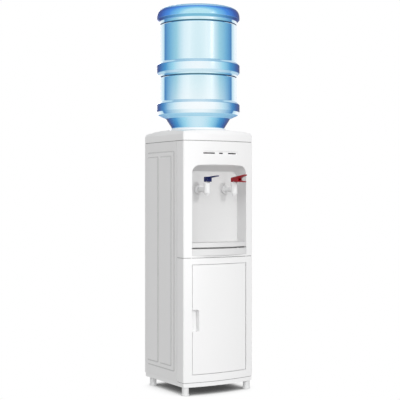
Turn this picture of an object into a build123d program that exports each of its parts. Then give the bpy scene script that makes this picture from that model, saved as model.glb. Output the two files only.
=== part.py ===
from build123d import *
import os
from math import sqrt

# Floor-standing bottled water dispenser, in millimetres.
# x runs to the right seen from the front, y to the rear and z up from the floor.
# The pieces are modelled about the bottle's axis. At the end all of them move together along y,
# so that the origin lies on the floor under the middle of the whole outline.

# Body: a slim cabinet with a bowed front, stacked from the floor up
body_width = 262.0
body_depth = 250.0
front_bow = 16.0
corner_radius = 5.0
foot_height = 27.0
base_height = 13.0
lower_height = 392.0
upper_height = 370.0
cover_corner_height = 29.0
cover_dome_radius = 1000.0
cover_rim_height = 22.0
cover_rim_round = 3.0
cover_slant = 10.0
cover_slant_height = 20.0
moulding_wall = 3.0
sheet_wall = 1.5
sheet_flange = 13.0
front_return = 40.0
base_inset = 2.0
base_rim = 9.0
fit_gap = 0.3
seam_width = 2.0
seam_depth = 1.8

# Feet under the base
foot_radius = 11.0
foot_flare = 1.5
foot_side_inset = 15.0
foot_front_inset = 13.0
foot_rear_inset = 29.0
foot_stud_radius = 4.0

# Embossed fields on the side panels
field_rise = 2.5
field_front_inset = 14.0
field_rear_inset = 20.0
field_end_inset = 30.0
field_step = 15.0
field_groove = 9.0
field_slope = 60.0
field_split = 0.54
field_corner = 6.0

# Tap bay and its drip tray
bay_half_width = 105.0
bay_depth = 55.0
bay_top_drop = 71.0
bay_floor_rise = 8.0
bay_corner_radius = 25.0
bay_cove = 2.4
bay_ceiling_drop = 23.0
bay_side_draft = 8.0
bay_lead = 8.0
tray_front_height = 21.0
tray_slot_height = 5.0
tray_slot_return = 6.0
tray_proud = 9.0
tray_wall = 2.2
grille_height = 14.0
grille_plate = 2.5
grille_slots = 13
grille_slot_width = 5.0
grille_border = 11.0
tray_gap = 0.8

# Indicator strip above the bay
indicator_drop = 38.0
indicator_width = 132.0
indicator_height = 13.0
indicator_depth = 7.0
lamp_widths = (0.318 * indicator_width, 0.114 * indicator_width, 0.242 * indicator_width)
lamp_spacing = 0.326 * indicator_width
lamp_height = 4.0
bezel_inset = 1.8
lens_inset = 2.4
lens_clearance = 0.2

# Taps, measured from the crossing of the pipe's axis and the spout's axis
tap_spacing = 102.0
tap_drop = 82.0
tap_reach = 52.0
pipe_radius = 8.0
water_bore = 4.0
flange_radius = 15.0
flange_thickness = 4.0
gasket_thickness = 1.5
shank_radius = 7.7
nut_thickness = 6.0
thread_spare = 4.0
barb_radius = 5.0
barb_length = 10.0
barrel_radius = 10.5
barrel_bottom = 13.0
barrel_top = 14.0
chamber_radius = 7.5
valve_seat_drop = 6.0
plunger_radius = 5.5
plunger_height = 3.5
spout_drop = 19.0
spout_radius = 6.5
bonnet_height = 7.0
bonnet_plug = 7.0
stem_radius = 2.5
stem_clearance = 0.08
stem_neck = 1.5
stem_head_radius = 3.2
stem_head_height = 2.5
fork_thickness = 2.0
pivot_offset = 7.0
pivot_rise = 4.0
pivot_pin_radius = 1.5
ear_thickness = 2.0
lever_width = 15.0
lever_wall = 2.4
lever_lift = 3.0
lever_height = 16.0
lever_rear = 8.0
lever_end_wall = 2.0
lever_roof = 4.5
cold_block_front = 15.0
hot_block_front = 33.0
cold_lever_reach = 61.0
hot_lever_reach = 65.0
paddle_width = 11.0
paddle_thickness = 4.0
cold_paddle_rise = 3.0
hot_paddle_rise = 7.0
lock_width = 8.0
lock_pin_radius = 1.5
lock_setback = 28.0
lock_rise = 3.0
pin_clearance = 0.06

# Cupboard door and its frame
door_half_width = 101.0
door_bottom_rise = 26.5
door_top_drop = 20.5
door_depth = 20.0
door_gap = 1.0
door_side_gap = 1.6
door_back_gap = 1.2
door_skin = 3.0
door_round = 1.5
door_liner_thickness = 2.5
notch_width = 22.0
notch_height = 70.0
notch_depth = 12.0
notch_corner = 6.0
notch_middle = 0.49
hinge_inset = 4.0
hinge_pin_radius = 2.0
hinge_boss = 2.5
hinge_pin_length = 12.0
stop_width = 24.0
magnet_width = 14.0
magnet_height = 40.0
magnet_depth = 8.0
catch_drop = 60.0
strike_thickness = 2.0
liner_wall = 2.0
liner_side_gap = 15.0
liner_rear_gap = 28.0
liner_floor_rise = 20.0

# Bottle, measured up from its mouth; it stands upside down, so its base is at the top
bottle_height = 488.0
bottle_radius = 128.0
bottle_wall = 2.2
bottle_drop = 82.0
neck_radius = 27.5
neck_height = 46.0
shoulder_radius = 86.0
shoulder_rise = 38.0
shoulder_round = 14.0
waist_radius = 106.0
waist_rise = 32.0
waist_round = 6.0
underside_rise = 11.0
underside_round = 4.0
ring_rise = 9.0
ring_slope = 9.0
low_ring_step = 6.0
low_ring_rise = 12.0
low_ring_height = 22.0
mid_ring_foot = 266.0
mid_ring_height = 24.0
top_ring_drop = 46.0
groove_depth = 2.5
groove_half_height = 3.5
mid_groove_drop = 15.5
top_groove_drop = 19.5
base_rise = 14.0
base_round = 29.0
edge_round = 3.0
groove_round = 1.0
cap_height = 25.0
cap_wall = 2.6
cap_hole = 12.0

# Bottle seat and feed probe
seat_wall = 2.5
seat_flange = 5.0
seat_gap = 0.6
collar_rise = 2.0
well_radius = 38.0
well_clearance = 8.0
probe_radius = 9.0
probe_wall = 2.5
probe_height = 50.0

# Cold side
cold_tank_radius = 58.0
cold_tank_height = 64.0
cold_flat = 50.0
tank_wall = 1.5
jacket_wall = 10.0
shelf_flange = 20.0
block_size = 50.0
block_depth = 14.0
plate_size = 40.0
plate_thickness = 4.0
sink_size = 80.0
sink_base = 5.0
sink_fin_depth = 18.0
sink_fins = 13
sink_fin = 1.6
fan_depth = 20.0
fan_duct = 37.0
fan_tip_gap = 1.0
fan_hub = 14.0
fan_blades = 7
blade_rake = 50.0
blade_thickness = 1.6
fan_shaft = 2.0
fan_hub_plate = 4.0

# Hot side
hot_tank_radius = 48.0
hot_tank_height = 120.0
hot_tank_y = 5.0
heater_thickness = 2.5
heater_height = 45.0
thermostat_radius = 8.0
hose_radius = 7.0
hose_bore = 5.1
hose_bend = 18.0
spigot_length = 14.0
feed_side = 16.0
feed_rear = 28.0
cold_port_side = 11.0
cold_port_front = 25.0
outlet_front = 20.0
heater_rise = 22.0
drain_rise = 14.0

# Rear services
fitting_radius = 9.0
bush_flange = 2.5
bush_nut = 4.0
fitting_flange = 14.0
plug_radius = 13.0
plug_length = 14.0
rocker_width = 13.0
rocker_height = 18.0
rocker_tilt = 8.0
switch_depth = 14.0
switch_spacing = 34.0
switch_drop = 80.0
switch_rim = 1.5
pivot_inset = 1.0
trunnion_radius = 1.3
gland_bore = 3.9
gland_side = 80.0
gland_rise = 40.0
screw_head = 3.5
screw_shank = 1.5
board_width = 75.0
board_length = 95.0
board_stand = 8.0
board_thickness = 1.6
board_post_radius = 3.0
board_post_inset = 6.0
transformer_side = 32.0
transformer_height = 28.0
transformer_inset = 20.0
capacitor_radius = 7.0
capacitor_height = 24.0
capacitor_edge = 17.0
connector_width = 8.0
connector_length = 26.0
connector_height = 12.0

# Levels and lines worked out from the sizes above
half_width = body_width / 2
half_depth = body_depth / 2
bow_radius = (half_width**2 + front_bow**2) / (2 * front_bow)
bow_centre_y = bow_radius - half_depth - front_bow
front_y = -half_depth - front_bow
return_y = front_return - half_depth
base_z = foot_height
body_z = base_z + base_height
seam_z = body_z + lower_height
shoulder_z = seam_z + upper_height
rear_inner_y = half_depth - sheet_wall

bay_wall_y = front_y + bay_depth
bay_floor_z = seam_z + bay_floor_rise
bay_top_z = shoulder_z - bay_top_drop
tray_slot_z = bay_floor_z + tray_front_height
grille_z = tray_slot_z + tray_slot_height

tap_x = tap_spacing / 2
tap_y = bay_wall_y - tap_reach
tap_z = bay_top_z - tap_drop
bonnet_top = barrel_top + bonnet_height
pivot_z = bonnet_top + pivot_rise
lever_bottom = bonnet_top + lever_lift
lever_top = lever_bottom + lever_height
barb_start = moulding_wall + nut_thickness + thread_spare
lock_pivot_y = -lock_setback
lock_pivot_z = lever_bottom + lock_rise

door_bottom_z = body_z + door_bottom_rise
door_top_z = seam_z - door_top_drop
door_edge_y = front_y + front_bow * (door_half_width / half_width) ** 2
door_back_y = door_edge_y + door_depth
stop_y = door_back_y + door_back_gap
liner_front_y = stop_y + moulding_wall
hinge_x = door_half_width - hinge_inset
hinge_y = front_y + front_bow * (hinge_x / half_width) ** 2 + hinge_inset
notch_z = door_bottom_z + notch_middle * (door_top_z - door_bottom_z)
opening_half_width = door_half_width + door_side_gap
catch_x = -opening_half_width + stop_width / 2 + 1.0
catch_z = door_top_z - catch_drop
liner_half_width = half_width - liner_side_gap
liner_rear_y = half_depth - liner_rear_gap
liner_floor_z = body_z + liner_floor_rise

corner_reach = sqrt(half_width**2 + half_depth**2)
dome_centre_z = shoulder_z + cover_corner_height - sqrt(cover_dome_radius**2 - corner_reach**2)
shoulder_height = neck_height + shoulder_rise
waist_height = shoulder_height + waist_rise
underside_height = waist_height + underside_rise
low_ring_foot = underside_height + low_ring_rise
top_ring_foot = bottle_height - top_ring_drop
cone_slope = shoulder_rise / (shoulder_radius - neck_radius)
seat_radius = neck_radius + (bottle_drop - neck_height + seat_gap) / cone_slope
collar_radius = seat_radius + seat_wall + fit_gap
collar_top_z = dome_centre_z + sqrt(cover_dome_radius**2 - collar_radius**2) + collar_rise
mouth_z = collar_top_z + seat_wall - bottle_drop
well_floor_z = mouth_z - cap_wall - well_clearance
tank_top_z = well_floor_z - seat_wall
tank_bottom_z = tank_top_z - cold_tank_height
shelf_z = tank_bottom_z - jacket_wall
cooler_z = tank_bottom_z + cold_tank_height / 2
hot_bottom_z = seam_z + jacket_wall
hot_top_z = hot_bottom_z + hot_tank_height
drain_z = hot_bottom_z + drain_rise
feed_x = tap_x - feed_side
feed_y = feed_rear
cold_port_x = -tap_x + cold_port_side
cold_port_y = -cold_port_front
plate_y = cold_flat + block_depth
sink_y = plate_y + plate_thickness
fan_y = sink_y + sink_base + sink_fin_depth
switch_z = shelf_z - switch_drop
rocker_y = half_depth - pivot_inset
gland_x = -gland_side
gland_z = seam_z + gland_rise

# The outline runs from the hot lever's tip to the drain plug's outer face
plug_y = half_depth + bush_flange
front_reach = hot_lever_reach - tap_y
rear_reach = plug_y + plug_length
origin_shift = (front_reach - rear_reach) / 2

BASE = (Align.CENTER, Align.CENTER, Align.MIN)
UP = (0, 0, 1)
DOWN = (0, 0, -1)
REAR = (0, 1, 0)
FRONT = (0, -1, 0)
RIGHT = (1, 0, 0)


def between(low, high):
    """Box between two opposite corners."""
    size = [b - a for a, b in zip(low, high)]
    middle = [(a + b) / 2 for a, b in zip(low, high)]
    return Pos(*middle) * Box(*size)


def rod(start, direction, radius, length):
    """Round bar from a point along a direction."""
    return Plane(origin=start, z_dir=direction) * Cylinder(radius, length, align=BASE)


def tube(start, direction, radius, bore, length):
    """Round tube from a point along a direction."""
    return rod(start, direction, radius, length) - rod(start, direction, bore, length)


def turned(points):
    """Solid of revolution about the z axis from (radius, height) corners."""
    face = make_face(Polyline(*points, close=True).edges())
    return revolve(Plane.XZ * face, Axis.Z)


def front_line(x, inset=0.0):
    """The bowed front's y at x, moved inwards by inset."""
    return bow_centre_y - sqrt((bow_radius - inset) ** 2 - x**2)


def body_plan(inset=0.0, back_y=half_depth):
    """Body outline seen from above, moved in at the front and sides."""
    half = half_width - inset
    corner_y = front_line(half, inset)
    bow = ThreePointArc((-half, corner_y), (0, front_line(0, inset)), (half, corner_y))
    walls = Polyline((half, corner_y), (half, back_y), (-half, back_y), (-half, corner_y))
    face = make_face(bow.edges() + walls.edges())
    corners = face.vertices().sort_by(Axis.Y)[:2]
    return fillet(corners, max(corner_radius - inset, 1.0))


def plan_solid(bottom, top, inset=0.0, back_y=half_depth):
    """Body outline raised between two levels."""
    return Pos(0, 0, bottom) * extrude(body_plan(inset, back_y), top - bottom)


def upright_section(y, half_wide, bottom, top, radius):
    """Upright face at y, facing the front, with rounded upper corners."""
    left = [(-half_wide, top), (-half_wide, bottom)]
    low = Polyline(*left, (half_wide, bottom), (half_wide, top), close=True)
    face = make_face(low.edges())
    face = fillet(face.vertices().sort_by(Axis.Y)[-2:], radius)
    return Plane(origin=(0, y, 0), x_dir=RIGHT, z_dir=FRONT) * face


def side_profile(points, width):
    """Solid of constant width about x = 0 from (y, z) corners."""
    face = make_face(Polyline(*points, close=True).edges())
    return extrude(Plane.YZ * face, width / 2, both=True)


def seam_groove(level):
    """Shallow groove round the front and sides of the body, just above a level."""
    outer = plan_solid(level, level + seam_width)
    return outer - plan_solid(level, level + seam_width, seam_depth)


def return_grooves(bottom, top):
    """Upright grooves where a front moulding's returns meet the side panels."""
    shallow = half_width - seam_depth
    front = return_y - seam_width
    left = between((-half_width, front, bottom), (-shallow, return_y, top))
    return left + between((shallow, front, bottom), (half_width, return_y, top))


def foot_places():
    """Where the four feet stand, as (x, y)."""
    front = -half_depth + foot_front_inset
    rear = half_depth - foot_rear_inset
    side = half_width - foot_side_inset
    return [(x, y) for x in (-side, side) for y in (front, rear)]


# Casing


def base_plate():
    """Shallow moulded tray under the body, with a rim that carries the panels."""
    tray = plan_solid(base_z, body_z, base_inset, half_depth - base_inset)
    rim = base_inset + base_rim
    tray -= plan_solid(base_z + moulding_wall, body_z, rim, half_depth - rim)
    for x, y in foot_places():
        boss = rod((x, y, base_z), UP, foot_radius, base_height)
        tray += boss & plan_solid(base_z, body_z, base_inset, half_depth - base_inset)
        tray -= rod((x, y, base_z), UP, foot_stud_radius, base_height - moulding_wall)
    return tray


def support_feet():
    """Four push-in feet with a flared pad and a stud that sits in the base."""
    stud_length = base_height - moulding_wall - 1.0
    outline = [
        (0, 0),
        (foot_radius + foot_flare, 0),
        (foot_radius + foot_flare, 4.0),
        (foot_radius, 7.0),
        (foot_radius, foot_height),
        (foot_stud_radius - 0.1, foot_height),
        (foot_stud_radius - 0.1, foot_height + stud_length),
        (0, foot_height + stud_length),
    ]
    foot = turned(outline)
    return [Pos(x, y, 0) * foot for x, y in foot_places()]


def side_panel(side):
    """Folded sheet panel with pressed-out fields; side is -1 for left and 1 for right."""
    outer = side * half_width
    inner = side * (half_width - sheet_wall)
    lip = side * (half_width - sheet_flange)
    low_x, high_x = sorted((outer, inner))
    lip_low, lip_high = sorted((lip, inner))
    panel = between((low_x, return_y, body_z), (high_x, half_depth, shoulder_z))
    panel += between((lip_low, return_y, body_z), (lip_high, rear_inner_y, body_z + sheet_wall))
    panel += between((lip_low, return_y, shoulder_z - sheet_wall), (lip_high, rear_inner_y, shoulder_z))
    panel += between((lip_low, return_y, body_z), (lip_high, return_y + sheet_wall, shoulder_z))
    panel += between((lip_low, rear_inner_y - sheet_wall, body_z), (lip_high, rear_inner_y, shoulder_z))
    fields = embossed_fields(side)
    for pad in fields:
        panel += pad
    for pad in fields:
        panel -= Pos(-side * sheet_wall, 0, 0) * pad
    return panel


def embossed_fields(side):
    """One broad raised field with two narrower ones on it, all with sloped edges."""
    front = return_y + field_front_inset
    rear = half_depth - field_rear_inset
    bottom = body_z + field_end_inset
    top = shoulder_z - field_end_inset
    split = front + field_split * (rear - front)
    broad = field(side, 0, front, rear, bottom, top)
    half_groove = field_groove / 2
    low = bottom + field_step
    high = top - field_step
    first = field(side, field_rise, front + field_step, split - half_groove, low, high)
    second = field(side, field_rise, split + half_groove, rear - field_rise, low, high)
    return broad, first, second


def field(side, lift, front, rear, bottom, top):
    """Raised rounded rectangle with sloped edges on a side panel's outer face."""
    middle = (side * (half_width + lift), (front + rear) / 2, (bottom + top) / 2)
    plane = Plane(origin=middle, x_dir=(0, side, 0), z_dir=(side, 0, 0))
    face = RectangleRounded(rear - front, top - bottom, field_corner)
    return extrude(plane * face, field_rise, taper=field_slope)


def rear_panel():
    """Sheet back with the fan's slots, air inlets and the service cut-outs."""
    half = half_width - sheet_wall - fit_gap
    panel = between((-half, rear_inner_y, body_z), (half, half_depth, shoulder_z))
    for x, z, width, height in vent_slots():
        slot = SlotOverall(height, width, rotation=90)
        plane = Plane(origin=(x, rear_inner_y - 1, z), x_dir=RIGHT, z_dir=FRONT)
        panel -= extrude(plane * slot, -sheet_wall - 2)
    for x in (-switch_spacing / 2, switch_spacing / 2):
        panel -= switch_block(x, 0.1, -1.0, sheet_wall + 1.0)
    panel -= rod((tap_x, rear_inner_y - 1, drain_z), REAR, fitting_radius + 0.1, sheet_wall + 2)
    panel -= rod((gland_x, rear_inner_y - 1, gland_z), REAR, fitting_radius + 0.1, sheet_wall + 2)
    for x, z in screw_places():
        panel -= rod((x, rear_inner_y - 1, z), REAR, screw_shank + 0.1, sheet_wall + 2)
    return panel


def vent_slots():
    """Slots behind the fan and a row of air inlets lower down, as (x, z, width, height)."""
    pitch = 9.0
    fan_slots = [(pitch * k, cooler_z, 4.0, 66.0) for k in range(-3, 4)]
    inlets = [(pitch * k, body_z + lower_height * 0.2, 4.0, 50.0) for k in range(-6, 7)]
    return fan_slots + inlets


def screw_places():
    """Rear panel screws near both side edges, as (x, z)."""
    x = half_width - sheet_flange / 2 - 1.0
    levels = [body_z + 15.0, body_z + lower_height * 0.5, seam_z + 20.0, shoulder_z - 15.0]
    return [(side * x, z) for side in (-1, 1) for z in levels]


def panel_screws():
    """Round-headed screws through the rear panel into the side panels' rear flanges."""
    screws = []
    for x, z in screw_places():
        head = rod((x, half_depth, z), REAR, screw_head, 2.0)
        head = fillet(head.edges().group_by(Axis.Y)[-1], 1.2)
        screws.append(head + rod((x, half_depth - 8.0, z), REAR, screw_shank, 8.0))
    return screws


def pierced_side_panel(side):
    """Side panel with the pilot holes for the rear panel's screws."""
    panel = side_panel(side)
    for x, z in screw_places():
        if x * side > 0:
            panel -= rod((x, rear_inner_y - 12.0, z), REAR, screw_shank + 0.05, 13.0)
    return panel


def dome_level(radius, inset=0.0):
    """Height of the cover's dome at a distance from its axis."""
    return dome_centre_z + sqrt((cover_dome_radius - inset) ** 2 - radius**2)


def cover_form(inset):
    """Upright rim, slanted shoulder and dome of the cover, moved inwards by inset."""
    rear = half_depth - inset
    rim_z = shoulder_z + cover_rim_height
    narrow = inset + cover_slant
    low = Pos(0, 0, rim_z) * body_plan(inset, rear)
    high = Pos(0, 0, rim_z + cover_slant_height) * body_plan(narrow, half_depth - narrow)
    form = plan_solid(shoulder_z, rim_z, inset, rear) + loft([low, high], ruled=True)
    edge = corner_reach + front_bow
    top = (0, dome_level(0, inset))
    brim = (edge, dome_level(edge, inset))
    arc = ThreePointArc(top, (edge / 2, dome_level(edge / 2, inset)), brim)
    rest = Polyline(brim, (edge, body_z), (0, body_z), top)
    return form & revolve(Plane.XZ * make_face(arc.edges() + rest.edges()), Axis.Z)


def top_cover():
    """Domed moulding on the body's top with a raised collar round the bottle's opening."""
    outer = cover_form(0.0)
    rim_z = shoulder_z + cover_rim_height
    rim = outer.edges().filter_by_position(Axis.Z, rim_z, rim_z)
    cover = fillet(rim, cover_rim_round) - cover_form(moulding_wall)
    collar_bottom = collar_top_z - collar_rise - 12.0
    cover += rod((0, 0, collar_bottom), UP, collar_radius + seat_flange, collar_top_z - collar_bottom)
    cover -= rod((0, 0, collar_bottom - 1), UP, collar_radius, collar_top_z)
    return cover - seam_groove(shoulder_z)


# Upper front with the tap bay


def bay_void(grow=0.0):
    """Space of the tap bay, or with grow the block that its walls are cut from."""
    front = front_y - bay_lead
    bottom = bay_floor_z - grow
    wide = bay_half_width + grow
    mouth = upright_section(front, wide, bottom, bay_top_z + grow, bay_corner_radius + grow)
    back = upright_section(
        bay_wall_y + grow,
        wide - bay_side_draft,
        bottom,
        bay_top_z - bay_ceiling_drop + grow,
        bay_corner_radius + grow,
    )
    form = loft([mouth, back], ruled=True)
    rear_edges = form.faces().sort_by(Axis.Y)[-1].edges()
    coved = [edge for edge in rear_edges if edge.center().Z > bottom + 1.0]
    return fillet(coved, bay_cove + grow)


def bay_side(y):
    """Half the width between the bay's drafted sides at y."""
    share = (y - front_y + bay_lead) / (bay_wall_y - front_y + bay_lead)
    return bay_half_width - bay_side_draft * share


def upper_front_panel():
    """Bowed front moulding that wraps round the sides, with the drafted tap bay moulded in."""
    filled = plan_solid(seam_z, shoulder_z, 0.0, return_y)
    hollow = plan_solid(seam_z, shoulder_z, moulding_wall, return_y + 1.0)
    behind = plan_solid(seam_z, shoulder_z, 0.0, half_depth)
    panel = filled - hollow + (bay_void(moulding_wall) & behind) - bay_void()
    for x in (-tap_x, tap_x):
        panel -= rod((x, bay_wall_y - 1, tap_z), REAR, shank_radius + fit_gap, moulding_wall + 2)
    panel -= indicator_bar(0.0, indicator_width, indicator_height)
    return panel - seam_groove(seam_z) - return_grooves(seam_z, shoulder_z)


def indicator_bar(x, width, height):
    """Rounded bar through the front at the indicator's height."""
    z = shoulder_z - indicator_drop
    plane = Plane(origin=(x, front_y - 5.0, z), x_dir=RIGHT, z_dir=REAR)
    return extrude(plane * SlotOverall(width, height), indicator_depth + front_bow)


def front_skin(outer_inset, inner_inset):
    """Bowed layer of the upper front between two depths."""
    outer = plan_solid(bay_top_z, shoulder_z, outer_inset, return_y)
    return outer - plan_solid(bay_top_z, shoulder_z, inner_inset, return_y)


def lamp_places():
    """Middle and width of each lamp window along the strip."""
    left, middle, right = lamp_widths
    return [(-lamp_spacing, left), (0.0, middle), (lamp_spacing, right)]


def indicator_bezel():
    """Bar that closes the slot, a little behind the bowed front, with three lamp windows."""
    bar = indicator_bar(0.0, indicator_width - fit_gap, indicator_height - fit_gap)
    bezel = bar & front_skin(bezel_inset, indicator_depth)
    for x, width in lamp_places():
        bezel -= indicator_bar(x, width, lamp_height)
    return bezel


def indicator_lenses():
    """Smoked lamp windows, a little behind the bezel's face."""
    skin = front_skin(lens_inset, indicator_depth)
    lenses = []
    for x, width in lamp_places():
        lens = indicator_bar(x, width - lens_clearance, lamp_height - lens_clearance)
        lenses.append(lens & skin)
    return lenses


# Drip tray


def tray_plan(inset, back_y, proud):
    """Tray outline seen from above, with a front that bows out beyond the panel."""
    edge_y = front_line(bay_half_width) + inset
    half = bay_side(edge_y) - tray_gap - inset
    front = ThreePointArc((-half, edge_y), (0, front_y - proud + inset), (half, edge_y))
    rear_half = bay_side(back_y) - tray_gap - inset
    rear_y = back_y - inset
    rest = Polyline((half, edge_y), (rear_half, rear_y), (-rear_half, rear_y), (-half, edge_y))
    face = make_face(front.edges() + rest.edges())
    return fillet(face.vertices().sort_by(Axis.Y)[-2:], bay_cove - inset)


def drip_tray():
    """Open tray that slides into the bay's floor; its front wall is lower than the others."""
    back = bay_wall_y - tray_gap
    bottom = bay_floor_z + fit_gap
    tray = Pos(0, 0, bottom) * extrude(tray_plan(0, back, tray_proud), grille_z - bottom)
    hollow = extrude(tray_plan(tray_wall, back, tray_proud), grille_z)
    tray -= Pos(0, 0, bottom + tray_wall) * hollow
    slot_back = front_line(bay_half_width) + tray_slot_return
    low = (-half_width, front_y - bay_depth, tray_slot_z)
    return tray - between(low, (half_width, slot_back, grille_z + 1))


def drip_grille():
    """Slotted cover with a skirt that rests on the tray's side and rear walls."""
    back = bay_wall_y - tray_gap
    cover = Pos(0, 0, grille_z) * extrude(tray_plan(0, back, tray_proud), grille_height)
    hollow = extrude(tray_plan(tray_wall, back, tray_proud), grille_height - grille_plate)
    cover -= Pos(0, 0, grille_z) * hollow
    slot_length = bay_depth - 2 * grille_border
    pitch = 2 * (bay_half_width - bay_side_draft - grille_border) / (grille_slots - 1)
    for k in range(grille_slots):
        x = (k - (grille_slots - 1) / 2) * pitch
        plane = Plane(origin=(x, bay_wall_y - grille_border - slot_length / 2, grille_z))
        slot = SlotOverall(slot_length, grille_slot_width, rotation=90)
        cover -= extrude(plane * slot, grille_height + 1)
    return cover


# Taps, modelled about their own axes and then moved into the bay


def at_tap(shape, x):
    """Move a tap piece from its own axes to its place in the bay."""
    return Pos(x, tap_y, tap_z) * shape


def tap_body():
    """Pipe, flange, threaded shank and hose barb behind a barrel with its spout."""
    flange_y = tap_reach - gasket_thickness - flange_thickness
    shank_end = tap_reach + barb_start
    body = rod((0, 0, 0), REAR, pipe_radius, flange_y)
    body += rod((0, flange_y, 0), REAR, flange_radius, flange_thickness)
    body += rod((0, flange_y, 0), REAR, shank_radius, shank_end - flange_y)
    body += rod((0, shank_end, 0), REAR, barb_radius, barb_length)
    body += rod((0, 0, -barrel_bottom), UP, barrel_radius, barrel_bottom + barrel_top)
    spout = [
        (0, -spout_drop),
        (spout_radius, -spout_drop),
        (spout_radius + 1.5, -barrel_bottom),
        (0, -barrel_bottom),
    ]
    body += turned(spout)
    body -= rod((0, 0, -valve_seat_drop), UP, chamber_radius, barrel_top + valve_seat_drop)
    body -= rod((0, 0, -spout_drop), UP, water_bore, spout_drop)
    body -= rod((0, 0, 0), REAR, water_bore, shank_end + barb_length)
    return body


def tap_bonnet():
    """Screw cap of the barrel, with a plug into the chamber and two ears for the lever's pin."""
    bonnet = rod((0, 0, barrel_top), UP, barrel_radius + 0.5, bonnet_height)
    bonnet = fillet(bonnet.edges().group_by(Axis.Z)[-1], 2.0)
    bonnet += rod((0, 0, barrel_top - bonnet_plug), UP, chamber_radius - 0.1, bonnet_plug)
    bonnet -= rod((0, 0, 0), UP, stem_radius + stem_clearance, bonnet_top + 1)
    ear_outer = lever_width / 2 - lever_wall - fit_gap
    for side in (-1, 1):
        x0, x1 = sorted((side * ear_outer, side * (ear_outer - ear_thickness)))
        half_ear = pivot_pin_radius + 1.2
        low = (x0, -pivot_offset - half_ear, bonnet_top - 2)
        ear = between(low, (x1, -pivot_offset + half_ear, pivot_z))
        ear += rod((x0, -pivot_offset, pivot_z), RIGHT, half_ear, ear_thickness)
        bonnet += ear
    bonnet -= rod((-lever_width, -pivot_offset, pivot_z), RIGHT, pivot_pin_radius, 2 * lever_width)
    return bonnet


def lever_pin():
    """Pin through the bonnet's ears and the lever's cheeks."""
    half = lever_width / 2 - 0.3
    return rod((-half, -pivot_offset, pivot_z), RIGHT, pivot_pin_radius, 2 * half)


def valve_stem():
    """Valve plunger on the chamber's seat, its stem and the head that the lever lifts."""
    shoulder = pivot_z - 0.8
    head = pivot_z + 4.0
    stem = rod((0, 0, -valve_seat_drop), UP, plunger_radius, plunger_height)
    stem += rod((0, 0, -valve_seat_drop), UP, stem_radius, shoulder + valve_seat_drop)
    stem += rod((0, 0, shoulder), UP, stem_neck, head - shoulder)
    stem += rod((0, 0, head), UP, stem_head_radius, stem_head_height)
    return stem


def lever_shell(points):
    """Lever from its side view, hollow below, with the fork that lifts the valve stem."""
    lever = side_profile(points, lever_width)
    half_inner = lever_width / 2 - lever_wall
    inner_front = lever_end_wall - cold_block_front
    inner_rear = lever_rear - lever_end_wall
    lever -= between(
        (-half_inner, inner_front, lever_bottom - 5),
        (half_inner, inner_rear, lever_top - lever_roof),
    )
    fork_z = pivot_z + 0.6
    fork_front = -stem_head_radius - 0.2
    fork = between((-half_inner, fork_front, fork_z), (half_inner, inner_rear, fork_z + fork_thickness))
    half_slot = stem_neck + 0.6
    fork -= between((-half_slot, fork_front - 1, pivot_z), (half_slot, 3.3, fork_z + fork_thickness + 1))
    lever += fork
    return lever - cross_hole(-pivot_offset, pivot_z, pivot_pin_radius)


def cross_hole(y, z, pin_radius):
    """Running hole for a cross pin through a lever's whole width."""
    return rod((-lever_width, y, z), RIGHT, pin_radius + pin_clearance, 2 * lever_width)


def narrow_paddle(lever, from_y):
    """Cut a lever's paddle down to its width in front of the block."""
    reach = 2 * hot_lever_reach
    for side in (-1, 1):
        x0, x1 = sorted((side * paddle_width / 2, side * lever_width))
        lever -= between((x0, -reach, lever_bottom - 20), (x1, from_y, lever_top + 30))
    return lever


def cold_lever():
    """Square block with a thin paddle that points forward from its top."""
    tip = -cold_lever_reach
    front = -cold_block_front
    tip_z = lever_top + cold_paddle_rise
    outline = [
        (lever_rear, lever_bottom),
        (lever_rear, lever_top - 2.0),
        (lever_rear - 2.0, lever_top),
        (front, lever_top),
        (tip, tip_z),
        (tip, tip_z - paddle_thickness * 0.7),
        (front - 7.0, lever_top - paddle_thickness),
        (front, lever_top - paddle_thickness - 2.0),
        (front, lever_bottom),
    ]
    return narrow_paddle(lever_shell(outline), front)


def hot_lever():
    """Longer tapered block with a raised paddle; the child-lock trigger hangs in a slot below it."""
    tip = -hot_lever_reach
    tip_z = lever_top + hot_paddle_rise
    outline = [
        (lever_rear, lever_bottom),
        (lever_rear, lever_top - 4.0),
        (lever_rear - 2.0, lever_top - 2.0),
        (tip, tip_z),
        (tip, tip_z - paddle_thickness * 0.8),
        (-hot_block_front - 4.0, lever_top - 4.0),
        (-hot_block_front, lever_top - 7.0),
        (-hot_block_front, lever_bottom),
    ]
    lever = narrow_paddle(lever_shell(outline), -hot_block_front)
    half_slot = lock_width / 2 + fit_gap
    low = (-half_slot, -hot_lever_reach, lever_bottom - 2)
    lever -= between(low, (half_slot, -cold_block_front, lever_top - 6.0))
    return lever - cross_hole(lock_pivot_y, lock_pivot_z, lock_pin_radius)


def hot_lock_trigger():
    """Child-lock tongue on its own trunnions, squeezed up towards the paddle."""
    tip = -hot_lever_reach + 2.0
    low = lock_pivot_z - 2.5
    outline = [
        (lock_pivot_y + 3.0, low),
        (lock_pivot_y + 3.0, lock_pivot_z + 2.5),
        (lock_pivot_y - 6.0, lock_pivot_z + 2.5),
        (tip, low + 1.0),
        (tip, low - 2.0),
    ]
    trigger = side_profile(outline, lock_width)
    half = lever_width / 2 - 0.5
    return trigger + rod((-half, lock_pivot_y, lock_pivot_z), RIGHT, lock_pin_radius, 2 * half)


def tap_nut():
    """Hexagonal lock nut on the shank behind the bay's wall."""
    plane = Plane(origin=(0, tap_reach + moulding_wall, 0), x_dir=RIGHT, z_dir=REAR)
    nut = extrude(plane * RegularPolygon(shank_radius + 4.5, 6, major_radius=False), nut_thickness)
    return nut - rod((0, 0, 0), REAR, shank_radius + 0.1, 2 * tap_reach)


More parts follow.
